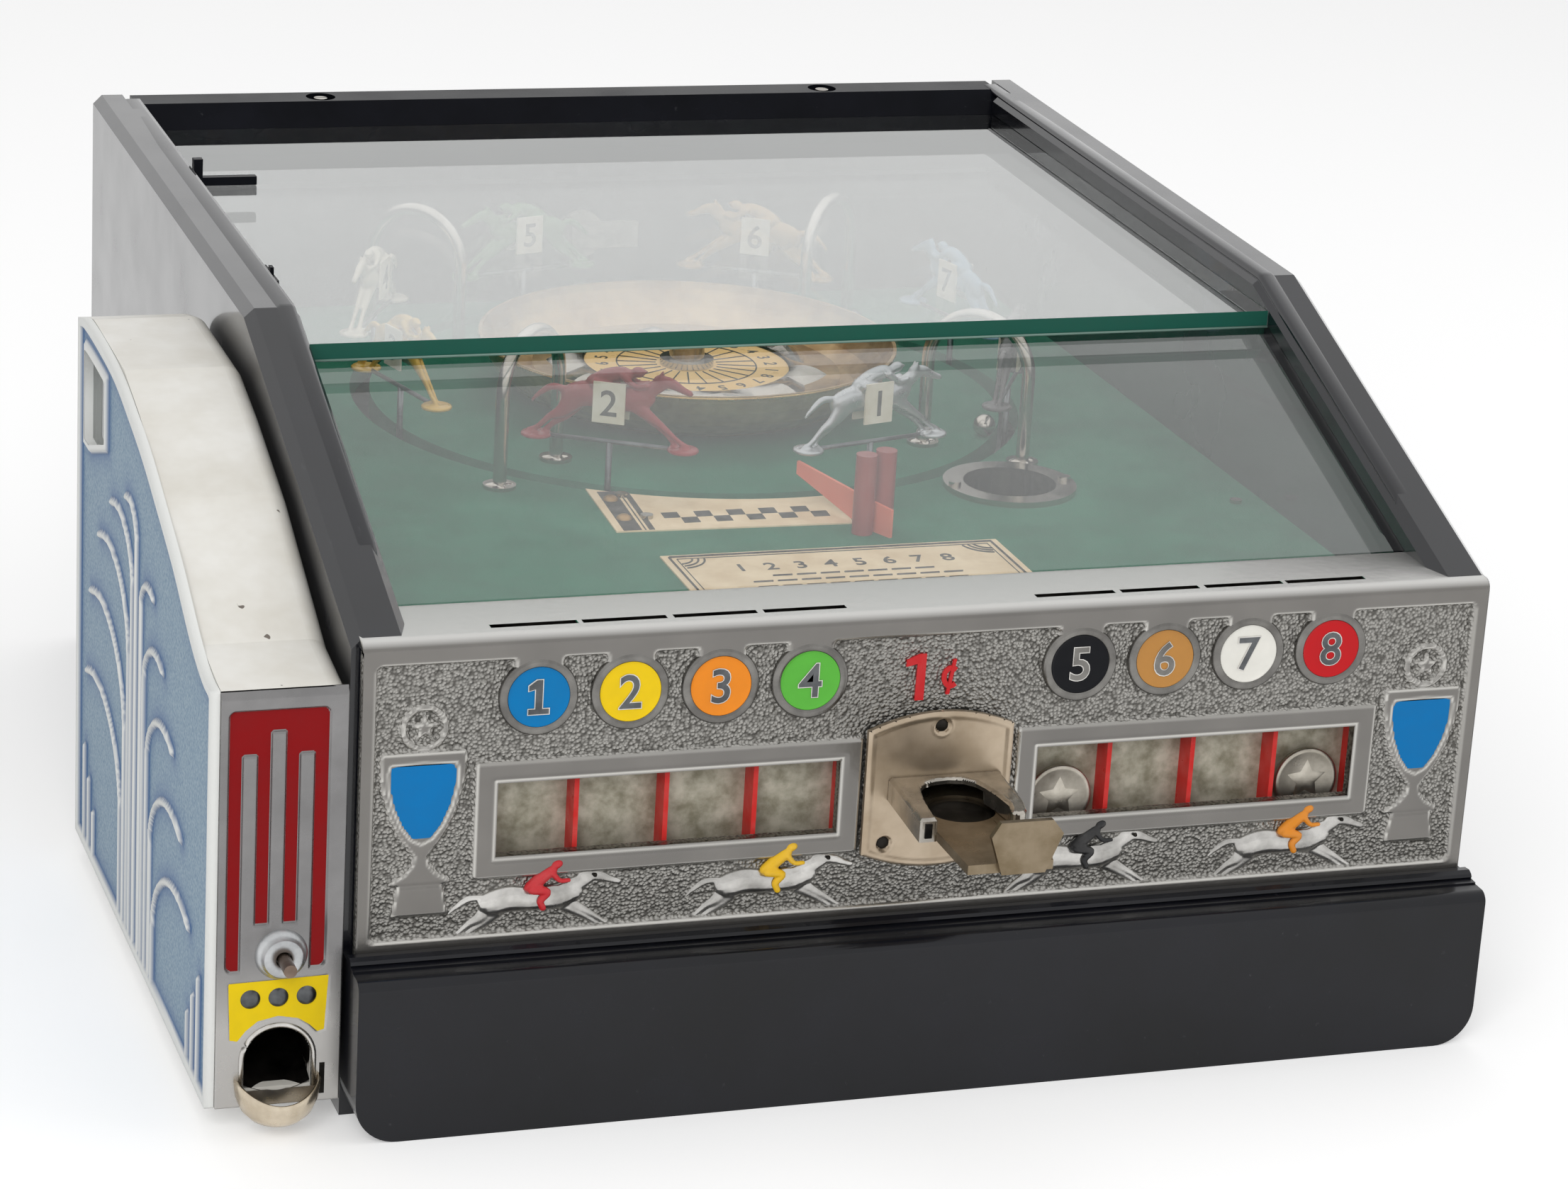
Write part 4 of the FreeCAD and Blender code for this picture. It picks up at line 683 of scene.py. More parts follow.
def front_plate():
    """Columns run along x; rows run up the face, over a quarter round and back along the ledge."""
    window_sides = [edge for window in WINDOWS for edge in window]
    across = lines_through(-PLATE_HALF, PLATE_HALF, 0.72, *window_sides, *THROAT[:2])
    up = lines_through(PLATE_LOW, PLATE_TOP - EDGE_ROUND, 0.6, WINDOW_LOW, WINDOW_TOP, *THROAT[2:])
    arc = EDGE_ROUND * np.radians(np.linspace(0, 90, 6)[1:-1])
    arc_long = EDGE_ROUND * math.pi / 2
    back = lines_through(0, LEDGE_RUN, 1.6, *SLOT_MARKS)
    run = np.concatenate([up - up[-1], arc, arc_long + back])
    x, s = np.meshgrid(across, run)
    turn = np.clip(s / EDGE_ROUND, 0, math.pi / 2)
    beyond = np.maximum(s - arc_long, 0)
    z = PLATE_TOP - EDGE_ROUND + np.minimum(s, 0) + EDGE_ROUND * np.sin(turn)
    y = FACE_Y + EDGE_ROUND * (1 - np.cos(turn)) + beyond
    on_face = (s < -0.8) & (s > up[0] - up[-1] + 0.8) & (np.abs(x) < PLATE_HALF - 0.8)
    for left, right in WINDOWS:
        on_face &= to_window(x, z, left, right, 0) > 1.0
    moved_x, moved_z = snap(x, z, plate_raised, 0.6)
    x, z = np.where(on_face, moved_x, x), np.where(on_face, moved_z, z)
    lower = np.where(s <= 0, GROUND_DEEP - plate_rise(x, z), 0)
    points = np.stack([x, y + lower, z], axis=-1)
    skirt = np.where(s[:, [0, -1], None] <= 0, [[[0, 4.0, 0]]], [[[0, 0, -3.0]]])
    skirt_side = points[:, [0, -1]] + skirt
    points = np.concatenate([skirt_side[:, :1], points, skirt_side[:, 1:]], axis=1)
    points = np.concatenate([points[:1] + [[[0, 4.0, 0]]], points], axis=0)
    flat, quads = grid(points)
    middle_x, middle_y, middle_z = flat[quads].mean(axis=1).T
    hole = to_block(middle_x, middle_z, *THROAT) < 0
    for left, right in WINDOWS:
        hole |= to_window(middle_x, middle_z, left, right, 0) < 0
    on_ledge = middle_z > PLATE_TOP - 0.1
    for at in DISC_X:
        slot = (at - SLOT_HALF, at + SLOT_HALF, FACE_Y + SLOT_FRONT, FACE_Y + SLOT_BACK)
        hole |= on_ledge & (to_block(middle_x, middle_y, *slot) < 0)
    shells = [(flat, quads[~hole])]
    for left, right in WINDOWS:
        rim = np.array([(left, WINDOW_LOW), (right, WINDOW_LOW), (right, WINDOW_TOP), (left, WINDOW_TOP)])
        front = np.stack([rim[:, 0], np.full(4, FACE_Y + 0.5), rim[:, 1]], axis=-1)
        shells.append(grid(np.stack([front, front + [0, 3.5, 0]]), around=True))
    made_object = piece("front_casting", shells, PLATE, stands_for=["front_plate"])

    # Painted highlight: a narrow bright band along every edge of the face, none on the ledge.
    def rubbed(x, y, z):
        return np.where(z < PLATE_TOP - EDGE_ROUND, 0.8 * np.exp(-(plate_edges(x, z) / 0.34) ** 2), 0)

    shade(made_object, "rubbed", rubbed)


# Enamel discs with raised numbers, and the price over the coin slide
DISC_PAINT = ["#0a79b8", "#f3ce1a", "#f2902b", "#61ba46", "#15161a", "#c08a4a", "#edebe3", "#c82025"]
COIN_X, COIN_Y, COIN_Z = (43.5, 127.5), -199.68, 85.3


def cutout(corners, near, far):
    """A flat piece with any outline in the x-z plane between two depths."""
    outline = np.array(corners, float)
    count = len(outline)
    front = np.column_stack([outline[:, 0], np.full(count, near), outline[:, 1]])
    sides = [[k, (k + 1) % count, (k + 1) % count + count, k + count] for k in range(count)]
    ends = [list(range(count)), list(range(2 * count - 1, count - 1, -1))]
    return np.vstack([front, front + [0, far - near, 0]]), ends + sides


def digit(place, at, y, bold):
    """A disc's raised numeral 10.7 mm high; the 1 is drawn with its flag and foot."""
    if place > 1:
        return placed(numeral(str(place), 15, 0.4, bold), (at, y, DISC_Z))
    half, foot, top, low = 0.9 + bold, 3.0 + bold, 5.2 + bold, -3.9 + bold
    base = [(-foot, -top), (foot, -top), (foot, low), (half, low)]
    flag = [(half, top), (-half + 0.4, top), (-foot, 3.4 + bold), (-foot, 2.2 - bold), (-half, 2.7 - bold)]
    corners = base + flag + [(-half, low), (-foot, low)]
    return cutout([(at + x, DISC_Z + z) for x, z in corners], y - 0.2, y + 0.2)


def price_shells():
    """A 1 with a flag and a cent sign: an open ring and a slanted bar."""
    front, back = FACE_Y + 0.9, FACE_Y + 1.7
    one = [(-9.4, 123.4), (-6.6, 123.4), (-6.4, 138.3), (-8.7, 138.3), (-12.7, 136.6), (-12.7, 134.4),
           (-9.2, 135.2)]
    arc = np.radians(np.linspace(48, 312, 23))
    outer = [(1.9 + 3.0 * math.cos(a), 130.3 + 3.7 * math.sin(a)) for a in arc]
    inner = [(1.9 + 1.5 * math.cos(a), 130.3 + 2.1 * math.sin(a)) for a in arc[::-1]]
    bar = [(0.5, 124.8), (1.6, 124.8), (3.4, 136.0), (2.3, 136.0)]
    return [cutout(one, front, back), cutout(outer + inner, front, back), cutout(bar, front - 0.06, back)]


def blister(outline, middle, y, swell):
    """A shallow swelling over a flat outline that falls away with the fourth power of the way out."""
    edge = np.array(outline, float)
    middle = np.array([middle], float)
    share = np.linspace(0, 1, 6)[:, None, None]
    flat = middle + (edge - middle) * share
    depth = y - swell * (1 - share[..., 0] ** 4) * np.ones(len(edge))
    return grid(np.stack([flat[..., 0], depth, flat[..., 1]], axis=-1), around=True)


def number_discs():
    """Each disc is a shallow drop of enamel that creeps up inside a turned ring, with a cast number edged
    by a painted highlight.
    """
    enamel = [(0, 0.25), (7, 0.28), (8.5, 0.3), (9.1, 0.14), (9.35, -0.06), (9.5, 0.5)]
    ring = [(9.3, 0.9), (9.4, 0.0), (9.7, -0.2), (10.2, -0.3), (10.9, -0.3), (11.5, -0.2), (11.9, 0.1),
            (12.1, 0.7), (12.2, 1.5)]
    rings, highlight_outlines, faces, pale = [], [], [], []
    for place, (at, code) in enumerate(zip(DISC_X, DISC_PAINT), 1):
        shell = turned(enamel, (at, FACE_Y, DISC_Z), "y", 48)
        made = glassy_enamel("disc_enamel_%d" % place, code)
        piece("number_disc_%d" % place, [shell], made, stands_for=["number_discs"])
        rings.append(turned(ring, (at, FACE_Y, DISC_Z), "y", 64))
        # Painted highlight: a bolder copy of each numeral in bright metal sits just behind it and shows as a
        # thin bright edge.
        highlight_outlines.append(digit(place, at, FACE_Y + 0.16, 0.42))
        (pale if place in (5, 6) else faces).append(digit(place, at, FACE_Y + 0.02, 0.12))
    piece("disc_rings", rings, RING_METAL)
    piece("disc_number_highlights", highlight_outlines, BRIGHT_CAST, smooth=False)
    piece("disc_numbers", faces, DARK_METAL, smooth=False)
    piece("disc_numbers_pale", pale, RING_METAL, smooth=False)
    piece("price_mark", price_shells(), PRICE_RED, smooth=False)


def bet_coins():
    """Two nickel coins with a raised rim and a worn star."""
    edge = [(0, 0.35), (8.9, 0.35), (9.3, 0.05), (10.3, 0.0), (10.6, 0.3), (10.6, 1.7), (10.3, 1.95),
            (0, 1.95)]
    shells = []
    for x in COIN_X:
        shells.append(turned(edge, (x, COIN_Y, COIN_Z), "y", 48))
        shells.append(blister(star((x, COIN_Z), 7.2, inner=0.5), (x, COIN_Z), COIN_Y + 0.39, 0.3))
    piece("bet_coins", shells, COIN, stands_for=["coins"])


def slot_walls():
    """The cut sides of the eight coin slots in the ledge, painted dark as the shade inside the slots."""
    walls = []
    for at in DISC_X:
        rim = [(at + side * SLOT_HALF, run) for side, run in ((-1, SLOT_FRONT), (1, SLOT_FRONT),
                                                              (1, SLOT_BACK), (-1, SLOT_BACK))]
        top = np.array([(x, FACE_Y + run, PLATE_TOP - 0.03) for x, run in rim])
        walls.append(grid(np.stack([top, top - [0, 0, 3.4]]), around=True))
    piece("slot_walls", walls, DARK_METAL_AND_SHADE, smooth=False)


def cup_inlays():
    """Blue enamel in the bowls of the two cups: the inlay's outline filled level by level."""
    shells = []
    for side in (-1, 1):
        half = curve_through(INLAY_HALF[1:-1], 4)
        share = np.linspace(-1, 1, 9)
        x = side * CUP_X + half[:, :1] * share
        z = np.broadcast_to(half[:, 1:2], x.shape)
        y = FACE_Y + 0.45 - 0.3 * (1 - share ** 4) * np.ones_like(x)
        shells.append(grid(np.stack([x, y, z], axis=-1)))
    piece("cup_inlays", shells, BLUE_INLAY)


# A galloping horse with its rider, nose towards +x, in millimetres from the middle of its feet
HORSE = [
    [(-13, 15.2, 4.4, 2.9), (-8, 16.4, 4.6, 3.1), (0, 15.6, 4.0, 2.9), (7, 16.2, 4.5, 3.0),
     (11.5, 17.2, 3.6, 2.3)],
    [(8.5, 17.2, 4.0, 2.4), (13, 20.0, 2.9, 1.8), (17.0, 22.6, 2.3, 1.5)],
    [(16.0, 23.4, 2.2, 1.5), (20.0, 23.0, 2.0, 1.4), (24.0, 21.2, 1.3, 1.1), (26.6, 20.2, 1.1, 1.0)],
    [(-17, 17.4, 1.2, 1.0), (-21, 17.2, 1.3, 1.1), (-25, 14.2, 0.9, 0.8), (-27, 12.0, 0.6, 0.5)],
]
NEAR_LEGS = [
    [(8.5, 14.6, 3.0, 1.5), (13.5, 11.2, 1.9, 1.2), (18.5, 7.8, 1.2, 0.9), (23.0, 4.2, 0.9, 0.8),
     (26.4, 2.0, 1.2, 0.9)],
    [(-12.5, 14.6, 4.0, 1.8), (-16.5, 9.8, 2.4, 1.4), (-20.5, 7.4, 1.3, 1.0), (-24.5, 3.4, 1.0, 0.8),
     (-27.4, 1.8, 1.2, 0.9)],
]
FAR_LEGS = [
    [(7.5, 13.8, 2.6, 1.4), (13.5, 9.4, 1.6, 1.1), (18.5, 5.6, 1.1, 0.8), (22.0, 2.0, 1.1, 0.9)],
    [(-11.5, 13.4, 3.2, 1.6), (-15.5, 8.0, 1.9, 1.2), (-19.5, 4.8, 1.2, 0.9), (-22.4, 1.8, 1.1, 0.9)],
]
EARS = [[(16.4, 24.8, 0.9, 0.6), (16.9, 26.6, 0.5, 0.4)]]
RIDER = [
    [(-6.5, 20.8, 2.4, 2.1), (-2.0, 23.2, 2.6, 2.5), (3.0, 24.6, 2.4, 2.4), (6.0, 24.4, 1.8, 1.9)],
    [(8.2, 25.6, 1.9, 1.7), (9.2, 25.7, 1.9, 1.7)],
    [(9.6, 26.4, 0.9, 1.3), (11.6, 26.0, 0.4, 1.0)],
]
CROUCHED_RIDER = [
    [(-3.5, 21.5, 2.6, 2.2), (0.5, 25.5, 2.8, 2.4), (4.5, 29.0, 2.4, 2.2)],
    [(6.3, 31.6, 2.1, 2.0), (7.0, 32.0, 2.0, 1.9)],
    [(4.6, 28.2, 1.3, 1.2), (7.5, 24.6, 1.1, 1.0), (11.0, 24.4, 1.0, 0.9)],
    [(-3.0, 21.0, 2.2, 1.7), (2.5, 19.5, 1.9, 1.5), (0.2, 15.5, 1.5, 1.2), (1.2, 12.0, 1.4, 1.0)],
]
RIDER_SIDES = [
    [(4.2, 24.2, 1.3, 1.0), (8.5, 21.4, 1.0, 0.8), (12.0, 21.8, 0.9, 0.7)],
    [(-5.0, 20.8, 2.0, 1.4), (2.5, 18.6, 1.7, 1.2), (-1.0, 14.6, 1.2, 0.9), (1.8, 12.4, 1.3, 0.8)],
]

# The riders on the plate: place along x, colour of the silks and its name
PLATE_RIDERS = [(-126, "#c3222b", "red"), (-52.3, "#e9b91e", "yellow"), (48.6, "#16171a", "black"),
                (119.2, "#e08a1c", "orange")]


def mount_shells():
    """The horse alone: body, neck, head and tail, the near and far legs, and two ears."""
    shells = [limb(path) for path in HORSE]
    shells += [limb(path, side=-1.1) for path in NEAR_LEGS] + [limb(path, side=1.1) for path in FAR_LEGS]
    return shells + [limb(path, side=side) for path in EARS for side in (-0.8, 0.8)]


def rider_shells():
    """The rider: trunk, head and cap in the middle, an arm and a leg at both sides."""
    sides = [limb(path, side=side) for path in RIDER_SIDES for side in (-2.3, 2.3)]
    return [limb(path) for path in RIDER] + sides


def cast_together(made_object, grain_size):
    """Melt overlapping forms into one casting: a fine voxel skin, then a light polish."""
    skin = made_object.modifiers.new("skin", "REMESH")
    skin.mode = "VOXEL"
    skin.voxel_size = grain_size * MM
    skin.use_smooth_shade = True
    polish = made_object.modifiers.new("polish", "SMOOTH")
    polish.factor = 0.5
    polish.iterations = 3


def plate_riders():
    """Four half-sunk riders along the foot of the plate, in bare metal with painted silks and a dark eye."""
    bodies, eyes = [], []
    stout = [[(x, z, tall * 1.2, wide * 1.2) for x, z, tall, wide in path]
             for path in HORSE + NEAR_LEGS + FAR_LEGS]
    for at, code, name in PLATE_RIDERS:
        spot = (at, FACE_Y + GROUND_DEEP + 0.3, 54.6)
        bodies += [placed(limb(path), spot, scale=(0.97, 0.66, 0.82)) for path in stout]
        seat = (at + 1.2, spot[1], 57.0)
        silks = paint("silks_%s" % name, code, roughness=0.3, coat=0.2)
        shells = [limb(path, side=-1.6) for path in CROUCHED_RIDER[:2]]
        shells += [limb(path, side=-3.2) for path in CROUCHED_RIDER[2:]]
        shells = [placed(shell, seat, scale=(0.78, 0.8, 0.68)) for shell in shells]
        rider = piece("plate_rider_%s" % name, shells, silks)
        cast_together(rider, 0.3)
        eye = (at + 18.2, FACE_Y - 0.05, 74.3)
        eyes.append(turned([(0, -0.5), (0.5, -0.45), (0.7, 0.2)], eye, "y", 12))
    cast_together(piece("plate_horses", bodies, RIDER_METAL), 0.36)
    piece("plate_horse_eyes", eyes, DARK_METAL_AND_SHADE)


# The coin slide's seat: an arched plate with a shelf and two prongs before it
SEAT_LEFT, SEAT_RIGHT, SEAT_LOW, SEAT_TOP, SEAT_ARCH = -24.3, 22.6, 75.0, 115.2, 5.1
MOUTH = (-12.2, 15.2, 90.8, 98.0)
SLIDE_TOP = 93.9
SEAT_SCREWS = [(-0.5, 115.4), (15.5, 78.2), (-17.1, 78.2)]
SHELF = [(-17.0, -1.7), (-19.0, -35.6), (-13.6, -35.6), (-13.2, -30), (-12.0, -20), (-10.6, -13.5),
         (-9.6, -9.9), (-7, -7.2), (-3.5, -5.5), (1, -5.0), (5.5, -6.2), (8.4, -9.2), (9.8, -13.3),
         (11.2, -20), (12.0, -28), (11.2, -31.5), (10.4, -33.6), (11.0, -35.2), (12.8, -35.8),
         (14.6, -35.0), (15.9, -32.6), (17.2, -27), (18.4, -18), (18.3, -11), (18.9, -4), (19.5, -1.7)]


def seat_outline():
    """The corners of the seat: upright sides and arched ends."""
    middle, half = (SEAT_LEFT + SEAT_RIGHT) / 2, (SEAT_RIGHT - SEAT_LEFT) / 2
    share = np.linspace(-1, 1, 15)
    arch = SEAT_ARCH * (1 - share ** 2)
    below = [(middle + half * s, SEAT_LOW - a) for s, a in zip(share, arch)]
    above = [(middle + half * s, SEAT_TOP + a) for s, a in zip(share, arch)]
    return below + above[::-1]


def closely(corners, step=0.8):
    """An outline with more corners, none further apart than a step."""
    rows = []
    for a, b in zip(corners, corners[1:] + corners[:1]):
        count = max(1, int(math.ceil(math.dist(a, b) / step)))
        rows += [(a[0] + (b[0] - a[0]) * k / count, a[1] + (b[1] - a[1]) * k / count) for k in range(count)]
    return np.array(rows)


def plated(corners, step, top, foot, gap=None):
    """A plate of any outline: top and foot give its two faces at each spot, a wall joins them, and a gap is
    left open."""
    low, high = np.min(corners, axis=0) - 0.3, np.max(corners, axis=0) + 0.3
    marks = (gap[:2], gap[2:]) if gap else ((), ())
    u, v = np.meshgrid(lines_through(low[0], high[0], step, *marks[0]),
                       lines_through(low[1], high[1], step, *marks[1]))
    u, v = snap(u, v, lambda a, b: to_polygon(a, b, corners), step)
    distance = to_polygon(u, v, corners)
    flat, quads = grid(np.stack([u, v, top(u, v, distance)], axis=-1))
    kept = (distance.reshape(-1)[quads] < 0.05).all(axis=1)
    if gap:
        middle = flat[quads].mean(axis=1)
        kept &= to_block(middle[:, 0], middle[:, 1], *gap) > 0
    under = np.column_stack([flat[:, :2], foot(flat[:, 0], flat[:, 1])])
    rim = closely(corners)
    edge = to_polygon(rim[:, 0], rim[:, 1], corners)
    upper = np.column_stack([rim, top(rim[:, 0], rim[:, 1], edge)])
    lower = np.column_stack([rim, foot(rim[:, 0], rim[:, 1])])
    return [(flat, quads[kept]), (under, quads[kept]), grid(np.stack([upper, lower]), around=True)]


def slide_seat():
    """The arched seat with its raised rim, its mouth and three sunk rings for the screws."""
    def face(x, z, distance):
        rise = 2.3 - 0.55 * bevel(distance + 2.1, 0.9) - 0.6 * bevel(-distance - 0.35, 0.7)
        for spot in SEAT_SCREWS:
            sunk = bevel(to_disc(x, z, spot, 2.3), 0.5)
            lip = bevel(np.abs(to_disc(x, z, spot, 2.9)) - 0.3, 0.5)
            rise = rise - 1.5 * sunk + 0.25 * lip
        return rise

    shells = [(np.stack([points[:, 0], FACE_Y - points[:, 2], points[:, 1]], axis=-1), quads)
              for points, quads in plated(seat_outline(), 0.55, face, lambda x, z: 0 * x + 0.02, MOUTH)]
    left, right, low, high = MOUTH
    corners = ((left, low), (right, low), (right, high), (left, high))
    rim = np.array([(x, FACE_Y - 1.75, z) for x, z in corners])
    shells.append(grid(np.stack([rim, rim + [0, 1.75, 0]]), around=True))
    piece("slide_seat", shells, CHAMPAGNE, stands_for=["coin_slide_plate"])


def slide_shelf():
    """The shelf with two prongs over the slide: a raised edge on top, its walls down beside the slide."""
    def top(x, run, distance):
        return 100.0 + 0.35 * bevel(-distance - 0.9, 0.7) - 1.2 * bevel(-distance - 0.45, 0.9)

    def foot(x, run):
        over_slide = (x > -12.3) & (x < 15.2)
        gap = np.where(x > 12.4, 95.4, 94.2)
        return np.where(over_slide & (run > -13), 98.0, np.where(over_slide, gap, 92.6))

    shelf = [(points + [0, FACE_Y, 0], quads) for points, quads in plated(SHELF, 0.5, top, foot)]
    piece("slide_shelf", shelf, SHELF_METAL)
    # Painted shade: a thin dark plate on the prong's front end stands for its slot, in place of an opening.
    slot = [(-17.4, 93.9), (-15.2, 93.9), (-15.2, 98.4), (-17.4, 98.4)]
    piece("prong_slot", [cutout(slot, FACE_Y - 36.0, FACE_Y - 35.2)], DARK_METAL_AND_SHADE,
          smooth=False)


def seat_screws():
    """Three screws sunk in the seat, painted near-black as the shade in their holes."""
    head = [(0, -0.7), (1.7, -0.7), (2.1, -0.4), (2.1, 3)]
    screws = [turned(head, (x, FACE_Y, z), "y", 24) for x, z in SEAT_SCREWS]
    piece("seat_screws", screws, DARK_METAL_AND_SHADE, stands_for=["slide_screws"])


def slide_trim():
    """On the slide itself: the flange at its right, a fold beside it and the dark bed for the coin."""
    front, back = FACE_Y - 57.6, FACE_Y - 26
    folds = [slab([(left, front), (right, front), (right, back), (left, back)], SLIDE_TOP, top)
             for left, right, top in ((13.4, 14.8, 95.0), (8.2, 8.7, 94.2))]
    piece("slide_folds", folds, SLIDE_METAL, body="coin_slide", smooth=False)
    profile = [(0, 92.5), (7.5, 92.5), (8.0, 92.9), (10.7, 92.9), (10.7, 92.1), (0, 92.1)]
    piece("coin_nest", [turned(profile, (1.5, FACE_Y - 15.6, 0))], DARK_METAL_AND_SHADE, body="coin_slide")


# The playfield: the track's middle, heights of the felt, its prints, the wires and the dial, and the horses
CENTRE = (3.5, 73.5)
TRACK_RADIUS = 116
FELT_Z = 134.4
PRINT_Z = 134.96
WIRE_Z = 150.4
DIAL_Z = 146.22
HORSE_ANGLES = {2: -120, 1: -75, 8: -30, 7: 15, 6: 60, 5: 105, 4: 150, 3: 195}


def round_the_track(angle, radius=TRACK_RADIUS, z=WIRE_Z):
    """A point at an angle in degrees and a radius about the middle of the track."""
    turn = math.radians(angle)
    return (CENTRE[0] + radius * math.cos(turn), CENTRE[1] + radius * math.sin(turn), z)


def racing_horses():
    """Eight painted castings on oval feet, each on a wire that a stem under the board pushes round."""
    foot = [(0, 0), (5.1, 0), (5.5, 0.5), (5.1, 1.3), (3.0, 1.6), (0, 1.6)]
    rods, digits = [], []
    for place, angle in HORSE_ANGLES.items():
        at = round_the_track(angle)
        shells = mount_shells() + rider_shells()
        shells += [turned(foot, (side * 25.1, 0, -0.1), sides=24) for side in (-1, 1)]
        shells = [placed(shell, at, angle + 90) for shell in shells]
        body = piece("race_horse_%d" % place, shells, HORSES[place], body="carousel",
                     stands_for=["horse_%d" % place])
        cast_together(body, 0.5)
        rods.append(placed(wire([(-24, 0, 0.6), (24, 0, 0.6)], 0.8), at, angle + 90))
        rods.append(placed(wire([(0, 0, 0.4), (0, 0, -32.3)], 1.1), at, angle + 90))
        for half_turn in (0, 180):
            shown = placed(numeral(str(place), 12.5, 0.12, 0.12), (0, -3.88, 15.0))
            digits.append(placed(shown, at, angle + 90 + half_turn))
    piece("track_rods", rods, DRIVE, body="carousel")
    piece("tag_numbers", digits, INK, body="carousel", smooth=False)


def hurdle_feet():
    """A four-lobed foot at each end of the hurdles: its reach is 4.4 mm and 1.2 mm more at every lobe."""
    angle = np.linspace(0, 2 * np.pi, 48, endpoint=False)
    reach = 4.4 + 1.2 * np.cos(4 * angle)
    shells = []
    for middle in (-135, -45, 45, 135):
        for radius in (94, 132):
            at = round_the_track(middle, radius, FELT_Z)
            rings = []
            for share, rise in ((0, 1.9), (0.45, 1.9), (0.8, 1.5), (1, 0.8), (1, 0.02)):
                rings.append(np.stack([at[0] + reach * share * np.cos(angle),
                                       at[1] + reach * share * np.sin(angle),
                                       np.full(angle.shape, at[2] + rise)], axis=-1))
            shells.append(grid(np.stack(rings), around=True))
    piece("hurdle_feet", shells, NICKEL)


def dial():
    """The dial's spokes, ring and numbers, and a crown of folded petals round it."""
    marks = []
    for angle in np.radians(np.arange(0, 360, 15)):
        spoke = [(CENTRE[0] + r * np.cos(angle), CENTRE[1] + r * np.sin(angle), DIAL_Z) for r in (11, 25)]
        marks.append(wire(spoke, 0.28, 4))
    ring = np.radians(np.linspace(0, 360, 73))
    loop = np.stack([CENTRE[0] + 25 * np.cos(ring), CENTRE[1] + 25 * np.sin(ring),
                     np.full(ring.shape, DIAL_Z)], axis=-1)
    marks.append(wire(loop, 0.3, 4))
    for place in range(24):
        points, faces = numeral(str(place % 8 + 1), 6.6, 0.1, 0.08)
        flat = np.stack([points[:, 0], points[:, 2] + 30.6, DIAL_Z + 0.02 - points[:, 1]], axis=-1)
        marks.append(placed((flat, faces), (CENTRE[0], CENTRE[1], 0), place * 15 + 7.5))
    piece("dial_marks", marks, INK, body="rotor", smooth=False)
    turn, reach = np.meshgrid(np.linspace(0, 2 * np.pi, 241)[:-1], np.linspace(0, 1, 7))
    fold = np.abs((turn * 10 / np.pi) % 2 - 1)
    radius = 36.9 + reach * (9.5 + 5.5 * (1 - fold))
    z = 147.2 - 3.4 * reach + 2.2 * (1 - fold) * np.sin(np.pi * reach)
    petals = np.stack([CENTRE[0] + radius * np.cos(turn), CENTRE[1] + radius * np.sin(turn), z], axis=-1)
    piece("dial_petals", [grid(petals, around=True)], NICKEL, body="rotor",
          smooth=False)


def bowl_rim():
    """The rolled bead round the brass bowl."""
    angle = np.radians(np.linspace(0, 360, 9))
    bead = [(73.9 + 0.75 * math.cos(a), 155.5 + 0.75 * math.sin(a)) for a in angle]
    piece("bowl_bead", [turned(bead, (*CENTRE, 0), sides=96)], GOLD)


def slab(corners, low, high):
    """A thin four-cornered slab between two heights."""
    spots = np.array(corners, float)
    floor = np.column_stack([spots, np.full(4, low)])
    roof = np.column_stack([spots, np.full(4, high)])
    sides = [[k, (k + 1) % 4, (k + 1) % 4 + 4, k + 4] for k in range(4)]
    return np.vstack([floor, roof]), [[3, 2, 1, 0], [4, 5, 6, 7]] + sides


def finish_line():
    """Two dark bands across the strip's outer end, a chequered band along it and two brass pins."""
    lean = 0.06

    def patch(left, right, front, back):
        spots = [(left, front), (right, front), (right, back), (left, back)]
        return slab([(x + lean * (y + 72), y) for x, y in spots], PRINT_Z - 0.1, PRINT_Z)

    dark = [patch(-61.8, -55.6, -71.4, -31), patch(-54.6, -54.1, -71.6, -32),
            patch(-53.2, -51.2, -71.6, -33)]
    square = 5.6
    for column in range(10):
        for row in range(2):
            if (column + row) % 2:
                left, front = -45.5 + column * square, -66.5 + row * square
                dark.append(patch(left, left + square, front, front + square))
    piece("finish_marks", dark, INK, smooth=False)
    dome = [(0, 1.6), (1.4, 1.4), (2.4, 0.7), (2.6, -0.05)]
    pins = [turned(dome, (x, y, 134.9), sides=20) for x, y in ((-57.0, -39.5), (-58.2, -59.3))]
    piece("strip_pins", pins, BRASS)


